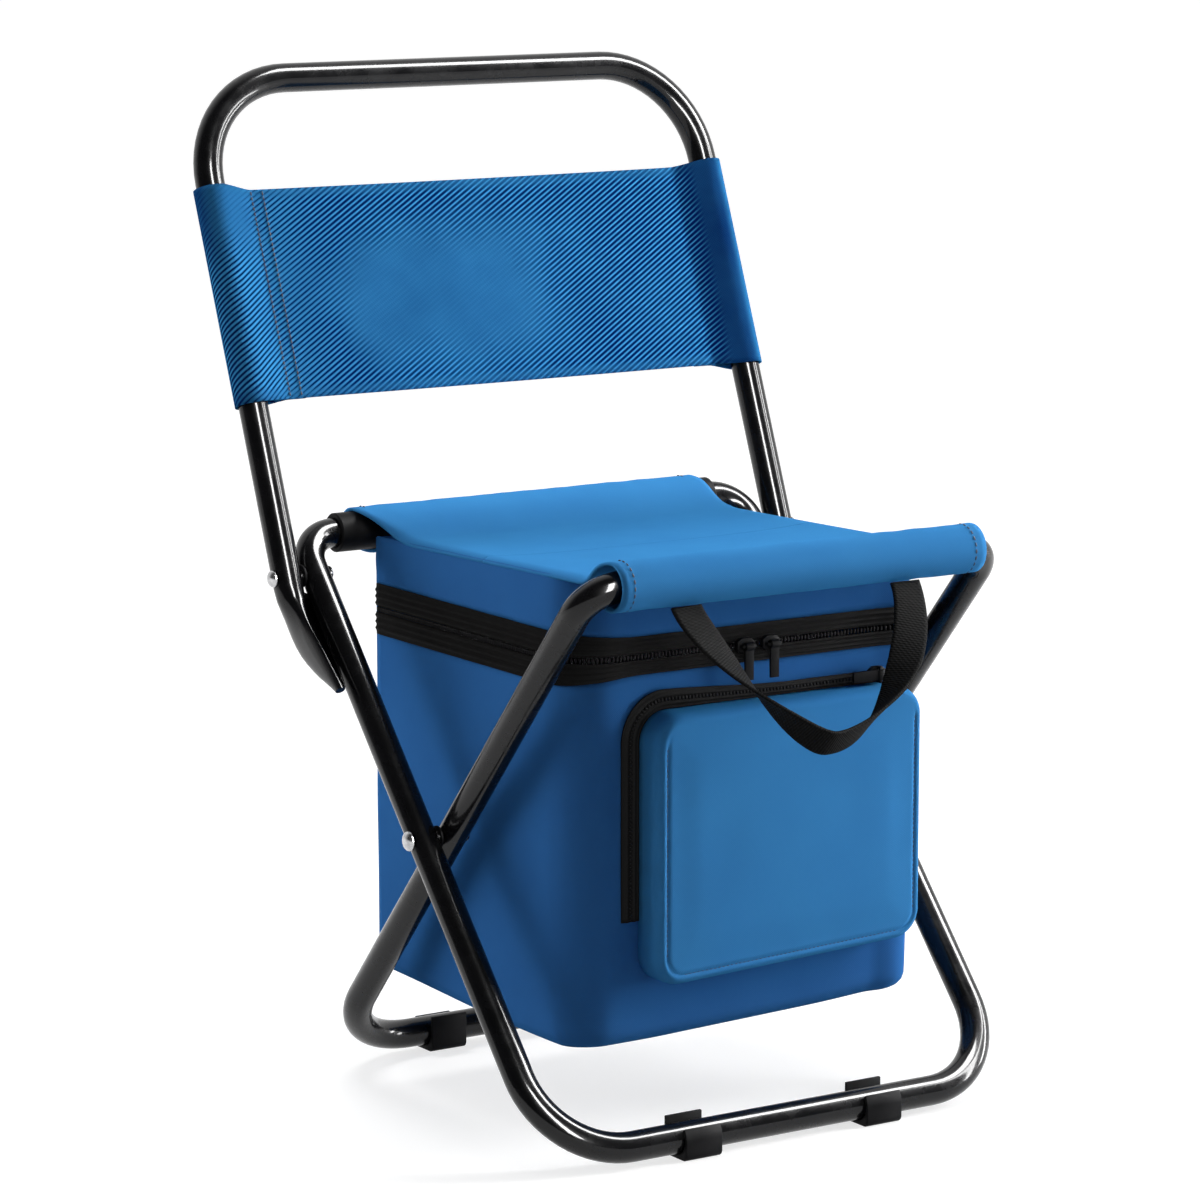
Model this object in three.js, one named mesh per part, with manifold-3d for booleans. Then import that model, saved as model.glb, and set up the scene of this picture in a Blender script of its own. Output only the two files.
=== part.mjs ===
// Folding stool with a backrest and a zipped cooler bag hung under its seat.
// Millimetres. Someone facing the stool has +X on their right, -Y is the stool's front, +Z is up.
// Y = 0 is the middle of the crossed legs until the whole stool is centred at the end.

import * as THREE from 'three';
import { mergeVertices } from 'three/addons/utils/BufferGeometryUtils.js';
import Module from 'manifold-3d';

const wasm = await Module();
wasm.setup();

// Clearances
const touchGap = 0.3; // between pieces that touch
const tubeEndGap = 2; // where the two ends of a bent tube meet inside a sleeve
const sleeveEndGap = 1.5; // from the end of a sleeve to the start of the bend
const bagSideGap = 12; // from the bag's side to the inner legs

// Bent steel tube
const tubeDiameter = 18;
const tubeWall = 0.9;

// Crossed leg frames, measured on the axes of their tubes
const legWidth = 322;
const footReach = 141.5;
const frontBarReach = 148.5;
const frontBarHeight = 340;
const rearBarReach = 142;
const rearBarHeight = 333;
const footBend = 54;
const seatBend = 22;

// Backrest frame and its flattened lower ends
const backPivotDrop = 28; // from the rear bar, along the leg
const backLength = 312; // from the pivot to the top bar
const backLean = 21.2; // degrees from upright
const backBend = 65;
const tongueLength = 86; // below the pivot
const tongueWidth = 24;
const tongueThickness = 5.2;
const tongueTipWidth = 7;
const stopWidth = 18; // folded lip that rests against the leg
const stopThickness = 2.6;

// Rivets, washers and sleeves
const shankDiameter = 6;
const legRivetHead = 12;
const backRivetHead = 10.5;
const rivetHeadHeight = 3;
const rivetTailDiameter = 9;
const rivetTailHeight = 2;
const washerDiameter = 14;
const washerThickness = 1.4;
const sleeveWall = 2.7;

// Foot clips
const clipLength = 25;
const clipSpacing = 129;
const clipWall = 2.5;
const clipCorner = 4;
const clipLip = 2; // the inner lip, above the tube
const clipGrip = 40; // degrees that the outer lip reaches above the tube's middle

// Seat and backrest cloth
const hemWall = 2.2;
const hemOverBend = 8; // the front hem runs this far onto the bends
const sleeveShow = 13; // bare sleeve at each end of the rear hem
const seatThickness = 2;
const seatOverhang = 1; // past the bag's sides
const flapReach = 17; // sewn edge of a hem, from the roll
const flapLap = 3.5; // of the sewn edge over the seat
const slingLow = 109.5; // from the back pivot, along the backrest
const slingHeight = 132;
const slingWall = 1.8;
const slingThickness = 2;

// Cooler bag
const bagFront = 100.5;
const bagRear = 121;
const bagBottom = 62;
const bagCorner = 28;
const rearPanelDrop = 3; // of the rear panel's top edge, below the rear bar, so that the bar swings over it
const clothThickness = 2;
const foamThickness = 5;
const linerThickness = 1;
const boardThickness = 2;
const zipDrop = 64; // from the mean height of the seat bars to the zip's lower edge
const tapeHeight = 13;
const coilHeight = 4.4;
const tapeProud = 0.6;
const coilProud = 2;

// Zip sliders and their pulls
const zipMeet = 5; // where the two main sliders meet, from the middle
const sliderLength = 12;
const sliderHeight = 9;
const sliderDepth = 3;
const sliderApart = 18;
const bailGauge = 1.6;
const pullLength = 20;
const pullWidth = 6;
const pullThickness = 1.6;
const pullEyeWall = 1;

// Front pocket and its zip
const pocketWidth = 190;
const pocketTopDrop = 17; // from the bag's zip down to the pocket
const pocketShift = 19; // to the right of the middle
const pocketBottom = 97.5;
const pocketDepth = 23;
const pocketCorner = 18;
const pocketWall = 2;
const pocketTapeWidth = 12;
const pocketTapeThickness = 1.5;
const pocketCoilWidth = 3;
const pocketCoilProud = 1.5;
const pocketZipFoot = 35; // lower end of the zip, above the pocket's bottom

// Carrying strap
const strapSpread = 153;
const strapWidth = 20;
const strapThickness = 1.8;
const strapDrop = 92.5; // along the loop
const strapTilt = 34; // degrees that the loop stands forward
const strapSeam = 35; // degrees from the bottom of the hem to the strap's seam, towards the front
const strapShift = -5.5; // of the strap's middle, to the right
const strapSway = -12; // of the loop's lowest point, further to the right
const strapLean = 105; // degrees that the webbing is turned at the bottom of the loop
const strapLeftHang = 0.2; // share of the drop that the left side hangs straight down
const strapRightHang = 0.42; // the same for the right side
const strapLeftBow = 0.42; // share of the half spread at which the left side flattens out
const strapRightBow = 0.35; // the same for the right side

// Facets of round shapes
const tubeFacets = 16; // round a full circle
const cornerFacets = 6; // round a rounded corner
const bendSteps = 6; // along a bend
const domeSteps = 4; // from the edge of a rivet's head to its top
const strapSteps = 32; // along the strap

const tubeRadius = tubeDiameter / 2;
const frameStep = tubeDiameter + washerThickness + 2 * touchGap;
const outerHalf = legWidth / 2;
const innerHalf = outerHalf - frameStep;
const backHalf = outerHalf + frameStep;
const sleeveRadius = tubeRadius + touchGap + sleeveWall;
const hemRadius = sleeveRadius + touchGap + hemWall;
const footHeight = tubeRadius + touchGap + clipWall;

const xAxis = new THREE.Vector3(1, 0, 0);
const yAxis = new THREE.Vector3(0, 1, 0);
const zAxis = new THREE.Vector3(0, 0, 1);
const sides = [['left', -1], ['right', 1]];

const paint = { color: 0x0b0b0d, roughness: 0.22, metalness: 0.1 };
const rivetMetal = { color: 0xb9babb, roughness: 0.28, metalness: 1 };
const washerPlastic = { color: 0x1a1a1c, roughness: 0.5, metalness: 0 };
const blackPlastic = { color: 0x141416, roughness: 0.55, metalness: 0 };
const blueCloth = { color: 0x206cb2, roughness: 0.7, metalness: 0 };
const blackTape = { color: 0x101014, roughness: 0.75, metalness: 0 };
const webbing = { color: 0x151518, roughness: 0.8, metalness: 0 };
const foam = { color: 0xe8e8e4, roughness: 0.9, metalness: 0 };
const foil = { color: 0xc4c8cc, roughness: 0.35, metalness: 0.6 };
const board = { color: 0x8d8f92, roughness: 0.7, metalness: 0 };

const stool = new THREE.Group();

function addPiece(group, name, geometry, look) {
  const mesh = new THREE.Mesh(geometry, new THREE.MeshStandardMaterial(look));
  mesh.name = name;
  group.add(mesh);
}

// A closed geometry as a solid that can be joined to others and cut.
function solidOf(geometry) {
  const bare = geometry.clone();
  bare.deleteAttribute('normal');
  bare.deleteAttribute('uv');
  const merged = mergeVertices(bare, 1e-4);
  const vertProperties = new Float32Array(merged.attributes.position.array);
  const triVerts = new Uint32Array(merged.index.array);
  return new wasm.Manifold(new wasm.Mesh({ numProp: 3, vertProperties, triVerts }));
}

function geometryOf(solid) {
  const mesh = solid.getMesh();
  const geometry = new THREE.BufferGeometry();
  geometry.setAttribute('position', new THREE.BufferAttribute(mesh.vertProperties, 3));
  geometry.setIndex(new THREE.BufferAttribute(mesh.triVerts, 1));
  geometry.computeVertexNormals();
  return geometry;
}

// The middle of a bent tube: straight runs between corners that are rounded to a radius.
class BentPath extends THREE.Curve {
  constructor(corners, radii) {
    super();
    const first = corners[1].clone().sub(corners[0]).normalize();
    this.stations = [{ point: corners[0], tangent: first }];
    radii.forEach((radius, i) => {
      const corner = corners[i + 1];
      const into = corner.clone().sub(corners[i]).normalize();
      const out = corners[i + 2].clone().sub(corner).normalize();
      const turn = into.angleTo(out);
      const inward = out.clone().addScaledVector(into, -Math.cos(turn)).normalize();
      const start = corner.clone().addScaledVector(into, -radius * Math.tan(turn / 2));
      const centre = start.clone().addScaledVector(inward, radius);
      for (let k = 0; k <= bendSteps; k += 1) {
        const angle = (turn * k) / bendSteps;
        const point = centre.clone()
          .addScaledVector(inward, -radius * Math.cos(angle))
          .addScaledVector(into, radius * Math.sin(angle));
        const tangent = into.clone().multiplyScalar(Math.cos(angle))
          .addScaledVector(inward, Math.sin(angle));
        this.stations.push({ point, tangent });
      }
    });
    const end = corners[corners.length - 1];
    const last = end.clone().sub(corners[corners.length - 2]).normalize();
    this.stations.push({ point: end, tangent: last });
    this.steps = this.stations.length - 1;
  }

  getPointAt(u, target = new THREE.Vector3()) {
    return target.copy(this.stations[Math.round(u * this.steps)].point);
  }

  getTangentAt(u, target = new THREE.Vector3()) {
    return target.copy(this.stations[Math.round(u * this.steps)].tangent);
  }
}

function discShape(radius) {
  return new THREE.Shape().absarc(0, 0, radius, 0, 2 * Math.PI, false);
}

function ringShape(outerRadius, innerRadius) {
  const shape = discShape(outerRadius);
  shape.holes.push(new THREE.Path().absarc(0, 0, innerRadius, 0, 2 * Math.PI, true));
  return shape;
}

// A hole drawn round its circle, so that what it holds turns in it with the usual gap.
function holeRadius(held) {
  return (held + touchGap) / Math.cos(Math.PI / tubeFacets);
}

function alongPath(shape, path) {
  return new THREE.ExtrudeGeometry(shape, {
    steps: path.steps,
    curveSegments: tubeFacets / 2,
    extrudePath: path,
  });
}

function extruded(shape, depth, arcFacets) {
  return new THREE.ExtrudeGeometry(shape, { depth, curveSegments: arcFacets / 2, bevelEnabled: false });
}

// A side view, drawn in Y and Z, made as long as given along X and centred there.
function acrossX(shape, length) {
  const geometry = extruded(shape, length, tubeFacets).translate(0, 0, -length / 2);
  return geometry.applyMatrix4(new THREE.Matrix4().makeBasis(yAxis, zAxis, xAxis));
}

// A plan, drawn in X and Y, standing between two heights.
function upright(shape, low, high, arcFacets = cornerFacets) {
  return extruded(shape, high - low, arcFacets).translate(0, 0, low);
}

// A front view, drawn in X and Z, reaching forward from one depth to another.
function forward(shape, back, front) {
  const geometry = extruded(shape, front - back, cornerFacets);
  geometry.applyMatrix4(new THREE.Matrix4().makeBasis(xAxis, zAxis, yAxis.clone().negate()));
  return geometry.translate(0, -back, 0);
}

// A box between two opposite corners.
function boxBetween(corner, opposite) {
  const box = new THREE.Box3().setFromPoints([corner, opposite]);
  const size = box.getSize(new THREE.Vector3());
  const middle = box.getCenter(new THREE.Vector3());
  return new THREE.BoxGeometry(size.x, size.y, size.z).translate(middle.x, middle.y, middle.z);
}

// A closed skin through a row of rings that run anticlockwise about the way ahead.
function skinOver(rings) {
  const count = rings[0].length;
  const index = [];
  for (let row = 0; row + 1 < rings.length; row += 1) {
    for (let i = 0; i < count; i += 1) {
      const here = row * count + i;
      const next = row * count + ((i + 1) % count);
      index.push(here, next, next + count, here, next + count, here + count);
    }
  }
  const last = (rings.length - 1) * count;
  for (let i = 1; i + 1 < count; i += 1) {
    index.push(0, i + 1, i, last, last + i, last + i + 1);
  }
  const geometry = new THREE.BufferGeometry().setFromPoints(rings.flat());
  geometry.setIndex(index);
  geometry.computeVertexNormals();
  return geometry;
}

// A round or oval ring about a centre, square to the way ahead.
function ovalRing(centre, ahead, wide, halfWide, halfThick) {
  const thick = new THREE.Vector3().crossVectors(ahead, wide);
  return Array.from({ length: tubeFacets }, (_, i) => {
    const angle = (2 * Math.PI * i) / tubeFacets;
    return centre.clone()
      .addScaledVector(wide, halfWide * Math.cos(angle))
      .addScaledVector(thick, halfThick * Math.sin(angle));
  });
}

// Where the outer and inner legs cross, seen from the side.
function legCrossing() {
  const outerRise = rearBarHeight - footHeight;
  const outerRun = footReach + rearBarReach;
  const innerRise = frontBarHeight - footHeight;
  const innerRun = footReach + frontBarReach;
  const innerShare = (2 * footReach) / ((outerRun * innerRise) / outerRise + innerRun);
  return { y: footReach - innerRun * innerShare, z: footHeight + innerRise * innerShare };
}

const legPivot = legCrossing();
const legAngle = Math.atan2(footReach + rearBarReach, rearBarHeight - footHeight);
const backPivot = {
  y: rearBarReach - backPivotDrop * Math.sin(legAngle),
  z: rearBarHeight - backPivotDrop * Math.cos(legAngle),
};

function pivotHoles(y, z, halfWidth) {
  const holes = sides.map(([, sign]) => {
    const hole = new THREE.CylinderGeometry(
      shankDiameter / 2 + touchGap, shankDiameter / 2 + touchGap, 2 * tubeDiameter, tubeFacets);
    return solidOf(hole.rotateZ(Math.PI / 2).translate(sign * halfWidth, y, z));
  });
  return holes[0].add(holes[1]);
}

// One tube bent into a closed loop: foot bar, two legs and a seat bar, its ends inside the sleeve.
function legFrame(halfWidth, footY, barY, barHeight, pivots) {
  const at = (x, y, z) => new THREE.Vector3(x, y, z);
  const path = new BentPath([
    at(-tubeEndGap / 2, barY, barHeight),
    at(-halfWidth, barY, barHeight),
    at(-halfWidth, footY, footHeight),
    at(halfWidth, footY, footHeight),
    at(halfWidth, barY, barHeight),
    at(tubeEndGap / 2, barY, barHeight),
  ], [seatBend, footBend, footBend, seatBend]);
  const tube = solidOf(alongPath(ringShape(tubeRadius, tubeRadius - tubeWall), path));
  const holes = pivots.map((pivot) => pivotHoles(pivot.y, pivot.z, halfWidth));
  return geometryOf(holes.reduce((rest, hole) => rest.subtract(hole), tube));
}

addPiece(stool, 'outer_leg_frame',
  legFrame(outerHalf, -footReach, rearBarReach, rearBarHeight, [legPivot, backPivot]), paint);
addPiece(stool, 'inner_leg_frame',
  legFrame(innerHalf, footReach, -frontBarReach, frontBarHeight, [legPivot]), paint);

// Plain sleeves that close the loops and carry the seat's hems.
const rearSleeveHalf = outerHalf - seatBend - sleeveEndGap;
const frontSleeveHalf = innerHalf - seatBend - sleeveEndGap;

function barSleeve(halfLength, y, z) {
  return acrossX(ringShape(sleeveRadius, holeRadius(tubeRadius)), 2 * halfLength).translate(0, y, z);
}

addPiece(stool, 'rear_bar_sleeve', barSleeve(rearSleeveHalf, rearBarReach, rearBarHeight), blackPlastic);
addPiece(stool, 'front_bar_sleeve', barSleeve(frontSleeveHalf, -frontBarReach, frontBarHeight), blackPlastic);

// The backrest stands in a group of its own: origin on the pivot, +Z along its tubes.
const backrest = new THREE.Group();
backrest.position.set(0, backPivot.y, backPivot.z);
backrest.rotation.x = -THREE.MathUtils.degToRad(backLean);
stool.add(backrest);

// Below the pivot each tube is pressed flat, curves in towards the leg and tapers to a tip.
const tongueTurn = legAngle - THREE.MathUtils.degToRad(backLean);
const tongueStages = [
  // share of the length, share of the turn, share of the flattening, share of the taper
  [1, 1, 1, 1],
  [0.92, 0.97, 1, 0.82],
  [0.8, 0.9, 1, 0.5],
  [0.64, 0.78, 1, 0.15],
  [0.48, 0.54, 1, 0],
  [0.34, 0.28, 0.82, 0],
  [0.22, 0.13, 0.35, 0],
];

function tongueRings(x, way) {
  return tongueStages.map(([along, turned, flat, taper]) => {
    const angle = tongueTurn * turned;
    const wide = new THREE.Vector3(0, Math.cos(angle), -Math.sin(angle));
    const up = new THREE.Vector3(0, Math.sin(angle), Math.cos(angle));
    const fullWidth = THREE.MathUtils.lerp(tubeRadius, tongueWidth / 2, flat);
    const halfWide = THREE.MathUtils.lerp(fullWidth, tongueTipWidth / 2, taper);
    const halfThick = THREE.MathUtils.lerp(tubeRadius, tongueThickness / 2, flat);
    const centre = new THREE.Vector3(x, 0, 0)
      .addScaledVector(up, -tongueLength * along)
      .addScaledVector(wide, halfWide - fullWidth);
    return ovalRing(centre, up.multiplyScalar(way), wide, halfWide, halfThick);
  });
}

// A lip folded in from each tongue, which stops against the back of the leg.
function stopLip(sign) {
  const top = -tongueLength / 2 + stopWidth / 2;
  const lip = boxBetween(
    new THREE.Vector3(sign * outerHalf, tubeRadius + touchGap, top - stopWidth),
    new THREE.Vector3(sign * backHalf, tubeRadius + touchGap + stopThickness, top));
  return solidOf(lip.rotateX(-tongueTurn));
}

function backrestFrame() {
  const at = (x, z) => new THREE.Vector3(x, 0, z);
  const path = new BentPath([
    at(-backHalf, -tubeRadius),
    at(-backHalf, backLength),
    at(backHalf, backLength),
    at(backHalf, -tubeRadius),
  ], [backBend, backBend]);
  const bend = path.stations.map(
    ({ point, tangent }) => ovalRing(point, tangent, yAxis, tubeRadius, tubeRadius));
  const skin = skinOver([...tongueRings(-backHalf, 1), ...bend, ...tongueRings(backHalf, -1).reverse()]);
  const bore = alongPath(discShape(tubeRadius - tubeWall), path);
  const hollow = solidOf(skin).subtract(solidOf(bore));
  const withStops = hollow.add(stopLip(-1)).add(stopLip(1));
  return geometryOf(withStops.subtract(pivotHoles(0, 0, backHalf)));
}

addPiece(backrest, 'backrest_frame', backrestFrame(), paint);

// The sling is one cloth with a tunnel on each tube.
function slingShape() {
  const radius = tubeRadius + touchGap + slingWall;
  const half = slingThickness / 2;
  const edge = Math.asin(half / radius);
  const shape = new THREE.Shape();
  shape.absarc(-backHalf, 0, radius, edge, 2 * Math.PI - edge, false);
  shape.absarc(backHalf, 0, radius, Math.PI + edge, 3 * Math.PI - edge, false);
  for (const x of [-backHalf, backHalf]) {
    shape.holes.push(new THREE.Path().absarc(x, 0, holeRadius(tubeRadius), 0, 2 * Math.PI, true));
  }
  return shape;
}

addPiece(backrest, 'backrest_sling',
  upright(slingShape(), slingLow, slingLow + slingHeight, tubeFacets), blueCloth);

// Rivets at the leg pivots and the back pivots, each with a washer between the two tubes.
function rivet(headDiameter) {
  const grip = 2 * tubeDiameter + washerThickness + 4 * touchGap;
  const shank = shankDiameter / 2;
  const quarter = Array.from({ length: domeSteps + 1 }, (_, i) => (Math.PI / 2) * (i / domeSteps));
  const tail = quarter.map((angle) => new THREE.Vector2(
    (rivetTailDiameter / 2) * Math.sin(angle), -grip - rivetTailHeight * Math.cos(angle)));
  const head = quarter.map((angle) => new THREE.Vector2(
    (headDiameter / 2) * Math.cos(angle), rivetHeadHeight * Math.sin(angle)));
  tail[0].x = 0;
  head[domeSteps].x = 0;
  const stem = [new THREE.Vector2(shank, -grip), new THREE.Vector2(shank, 0)];
  return new THREE.LatheGeometry([...tail, ...stem, ...head], tubeFacets);
}

function washer() {
  const inside = shankDiameter / 2 + touchGap;
  const corners = [
    [washerDiameter / 2, -washerThickness / 2],
    [washerDiameter / 2, washerThickness / 2],
    [inside, washerThickness / 2],
    [inside, -washerThickness / 2],
    [washerDiameter / 2, -washerThickness / 2],
  ];
  return new THREE.LatheGeometry(corners.map(([r, y]) => new THREE.Vector2(r, y)), tubeFacets);
}

function addPivot(name, headDiameter, halfWidth, pivot) {
  for (const [side, sign] of sides) {
    const face = sign * (halfWidth + tubeRadius + touchGap);
    const between = sign * (halfWidth - frameStep / 2);
    addPiece(stool, `${name}_rivet_${side}`,
      rivet(headDiameter).rotateZ(-sign * Math.PI / 2).translate(face, pivot.y, pivot.z), rivetMetal);
    addPiece(stool, `${name}_washer_${side}`,
      washer().rotateZ(Math.PI / 2).translate(between, pivot.y, pivot.z), washerPlastic);
  }
}

addPivot('leg_pivot', legRivetHead, outerHalf, legPivot);
addPivot('back_pivot', backRivetHead, backHalf, backPivot);

// Snap-on foot clips: flat soles, a low lip outside and a taller lip inside.
function footClip() {
  const inner = holeRadius(tubeRadius);
  const outer = tubeRadius + touchGap + clipWall;
  const grip = Math.PI - THREE.MathUtils.degToRad(clipGrip);
  const shape = new THREE.Shape();
  shape.moveTo(inner, tubeRadius + clipLip);
  shape.lineTo(outer, tubeRadius + clipLip);
  shape.absarc(outer - clipCorner, clipCorner - footHeight, clipCorner, 0, -Math.PI / 2, true);
  shape.absarc(clipCorner - outer, clipCorner - footHeight, clipCorner, -Math.PI / 2, -Math.PI, true);
  shape.absarc(0, 0, outer, Math.PI, grip, true);
  shape.absarc(0, 0, inner, grip, 2 * Math.PI, false);
  return acrossX(shape, clipLength);
}

for (const [end, footY, turn] of [['front', -footReach, 0], ['rear', footReach, Math.PI]]) {
  for (const [side, sign] of sides) {
    const clip = footClip().rotateZ(turn).translate((sign * clipSpacing) / 2, footY, footHeight);
    addPiece(stool, `foot_clip_${end}_${side}`, clip, blackPlastic);
  }
}

// The seat lies in a group of its own: origin on the front bar, +Y towards the rear bar.
const seatRun = frontBarReach + rearBarReach;
const seatRise = rearBarHeight - frontBarHeight;
const seatSpan = Math.hypot(seatRun, seatRise);
const seat = new THREE.Group();
seat.position.set(0, -frontBarReach, frontBarHeight);
seat.rotation.x = Math.atan2(seatRise, seatRun);
seat.updateMatrix();
stool.add(seat);

// A rolled hem round its bar, with a sewn edge that laps over the seat.
function seatHem(halfLength) {
  const low = seatThickness / 2 + touchGap;
  const high = low + seatThickness;
  const shape = new THREE.Shape();
  shape.moveTo(hemRadius + flapReach, low);
  shape.lineTo(hemRadius + flapReach, high);
  shape.absarc(0, 0, hemRadius, Math.asin(high / hemRadius), 2 * Math.PI + Math.asin(low / hemRadius), false);
  shape.holes.push(new THREE.Path().absarc(0, 0, holeRadius(sleeveRadius), 0, 2 * Math.PI, true));
  return acrossX(shape, 2 * halfLength);
}

const frontHemHalf = innerHalf - seatBend + hemOverBend;
const rearHemHalf = rearSleeveHalf - sleeveShow;
addPiece(seat, 'seat_front_hem', seatHem(frontHemHalf), blueCloth);
addPiece(seat, 'seat_rear_hem', seatHem(rearHemHalf).rotateZ(Math.PI).translate(0, seatSpan, 0), blueCloth);

const bagHalf = innerHalf - tubeRadius - bagSideGap;
const seatEdge = hemRadius + flapReach - flapLap;
addPiece(seat, 'seat_panel', boxBetween(
  new THREE.Vector3(-bagHalf - seatOverhang, seatEdge, -seatThickness / 2),
  new THREE.Vector3(bagHalf + seatOverhang, seatSpan - seatEdge, seatThickness / 2)), blueCloth);

// Cuts a piece of the bag off along the underside of the seat.
function underSeat(geometry) {
  const above = boxBetween(
    new THREE.Vector3(-legWidth, -seatSpan, -seatThickness / 2 - touchGap),
    new THREE.Vector3(legWidth, 2 * seatSpan, seatSpan));
  return geometryOf(solidOf(geometry).subtract(solidOf(above.applyMatrix4(seat.matrix))));
}

// Plan of the bag, drawn in by an inset: round front corners and square rear ones.
function bagPlan(inset) {
  const half = bagHalf - inset;
  const radius = bagCorner - inset;
  const middle = bagCorner - bagFront;
  const shape = new THREE.Shape();
  shape.moveTo(half, bagRear - inset);
  shape.lineTo(-half, bagRear - inset);
  shape.absarc(radius - half, middle, radius, Math.PI, 1.5 * Math.PI, false);
  shape.absarc(half - radius, middle, radius, 1.5 * Math.PI, 2 * Math.PI, false);
  return shape;
}

// Plan of a band that wraps the bag's left side, front and right side.
function wrapPlan(inset, thickness, rearEnd) {
  const half = bagHalf - inset;
  const outer = bagCorner - inset;
  const inner = outer - thickness;
  const middle = bagCorner - bagFront;
  const shape = new THREE.Shape();
  shape.moveTo(-half, rearEnd);
  shape.absarc(outer - half, middle, outer, Math.PI, 1.5 * Math.PI, false);
  shape.absarc(half - outer, middle, outer, 1.5 * Math.PI, 2 * Math.PI, false);
  shape.lineTo(half, rearEnd);
  shape.lineTo(half - thickness, rearEnd);
  shape.absarc(half - outer, middle, inner, 2 * Math.PI, 1.5 * Math.PI, true);
  shape.absarc(outer - half, middle, inner, 1.5 * Math.PI, Math.PI, true);
  shape.lineTo(thickness - half, rearEnd);
  return shape;
}

// Outer cloth: a bottom, a rear panel up to the seat, and a wrap and a lid skirt joined by the zip.
const clothFloor = bagBottom + clothThickness;
const wrapEnd = bagRear - clothThickness - touchGap;
const zipHeight = (frontBarHeight + rearBarHeight) / 2 - zipDrop;
const coilLow = zipHeight + tapeHeight + touchGap;
const upperTapeLow = coilLow + coilHeight + touchGap;
const zipTop = upperTapeLow + tapeHeight;
const skirtTop = Math.max(frontBarHeight, rearBarHeight) + seatThickness;
const clothBand = wrapPlan(0, clothThickness, wrapEnd);
const tapeBand = wrapPlan(-tapeProud, clothThickness + tapeProud, wrapEnd);
const coilBand = wrapPlan(-coilProud, clothThickness + coilProud, wrapEnd);

addPiece(stool, 'bag_bottom_panel', upright(bagPlan(0), bagBottom, clothFloor), blueCloth);
addPiece(stool, 'bag_rear_panel', underSeat(boxBetween(
  new THREE.Vector3(-bagHalf, bagRear - clothThickness, clothFloor + touchGap),
  new THREE.Vector3(bagHalf, bagRear, rearBarHeight - rearPanelDrop))), blueCloth);
addPiece(stool, 'bag_wrap_panel', upright(clothBand, clothFloor + touchGap, zipHeight - touchGap), blueCloth);
addPiece(stool, 'bag_lid_skirt', underSeat(upright(clothBand, zipTop + touchGap, skirtTop)), blueCloth);
addPiece(stool, 'main_zip_lower_tape', upright(tapeBand, zipHeight, zipHeight + tapeHeight), blackTape);
addPiece(stool, 'main_zip_coil', upright(coilBand, coilLow, coilLow + coilHeight), blackTape);
addPiece(stool, 'main_zip_upper_tape', upright(tapeBand, upperTapeLow, zipTop), blackTape);

// Inside the cloth: a base board, foam on every side, a foil liner, and foam and foil in the lid.
const boardLow = clothFloor + touchGap;
const foamLow = boardLow + boardThickness + touchGap;
const linerLow = foamLow + foamThickness + touchGap;
const foamInset = clothThickness + touchGap;
const linerInset = foamInset + foamThickness + touchGap;
const foamRear = bagRear - foamInset - foamThickness;
const lidEnds = [-bagFront, bagRear].map((y) => frontBarHeight + ((y + frontBarReach) * seatRise) / seatRun);
const lidFoamTop = Math.min(...lidEnds) - seatThickness;
const lidFoamLow = lidFoamTop - foamThickness;

function linerTray() {
  const floor = linerLow + linerThickness;
  const outside = upright(bagPlan(linerInset), linerLow, zipHeight);
  const inside = upright(bagPlan(linerInset + linerThickness), floor, zipHeight + linerThickness);
  return geometryOf(solidOf(outside).subtract(solidOf(inside)));
}

addPiece(stool, 'base_board', upright(bagPlan(foamInset), boardLow, boardLow + boardThickness), board);
addPiece(stool, 'foam_bottom', upright(bagPlan(linerInset), foamLow, foamLow + foamThickness), foam);
addPiece(stool, 'foam_wrap', upright(
  wrapPlan(foamInset, foamThickness, foamRear - touchGap), foamLow, zipHeight), foam);
addPiece(stool, 'foam_rear', boxBetween(
  new THREE.Vector3(foamInset - bagHalf, foamRear, foamLow),
  new THREE.Vector3(bagHalf - foamInset, foamRear + foamThickness, zipHeight)), foam);
addPiece(stool, 'bag_liner', linerTray(), foil);
addPiece(stool, 'lid_foam', underSeat(upright(bagPlan(foamInset), lidFoamLow, skirtTop)), foam);
addPiece(stool, 'lid_liner', upright(
  bagPlan(foamInset), lidFoamLow - touchGap - linerThickness, lidFoamLow - touchGap), foil);

// A zip slider: a bevelled block with a bail in front, round which the pull's eye turns.
const eyeInside = (bailGauge * Math.SQRT2) / 2 + touchGap;
const eyeOutside = eyeInside / Math.cos(Math.PI / tubeFacets) + pullEyeWall;
const bailBar = sliderDepth + touchGap + eyeOutside; // the bail's axis, in front of the coil

function sliderBody(width, height) {
  const block = new THREE.Shape();
  block.moveTo(-width / 2, -height / 4);
  block.lineTo(-width / 4, -height / 2);
  block.lineTo(width / 4, -height / 2);
  block.lineTo(width / 2, -height / 4);
  block.lineTo(width / 2, height / 4);
  block.lineTo(width / 4, height / 2);
  block.lineTo(-width / 4, height / 2);
  block.lineTo(-width / 2, height / 4);
  const inside = pullWidth / 2 + touchGap;
  const outside = inside + bailGauge;
  const root = -sliderDepth / 2;
  const bail = new THREE.Shape();
  bail.moveTo(-outside, root);
  bail.lineTo(-outside, -bailBar - bailGauge / 2);
  bail.lineTo(outside, -bailBar - bailGauge / 2);
  bail.lineTo(outside, root);
  bail.lineTo(inside, root);
  bail.lineTo(inside, bailGauge / 2 - bailBar);
  bail.lineTo(-inside, bailGauge / 2 - bailBar);
  bail.lineTo(-inside, root);
  const loop = upright(bail, -bailGauge / 2, bailGauge / 2);
  return geometryOf(solidOf(forward(block, 0, sliderDepth)).add(solidOf(loop)));
}

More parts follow.
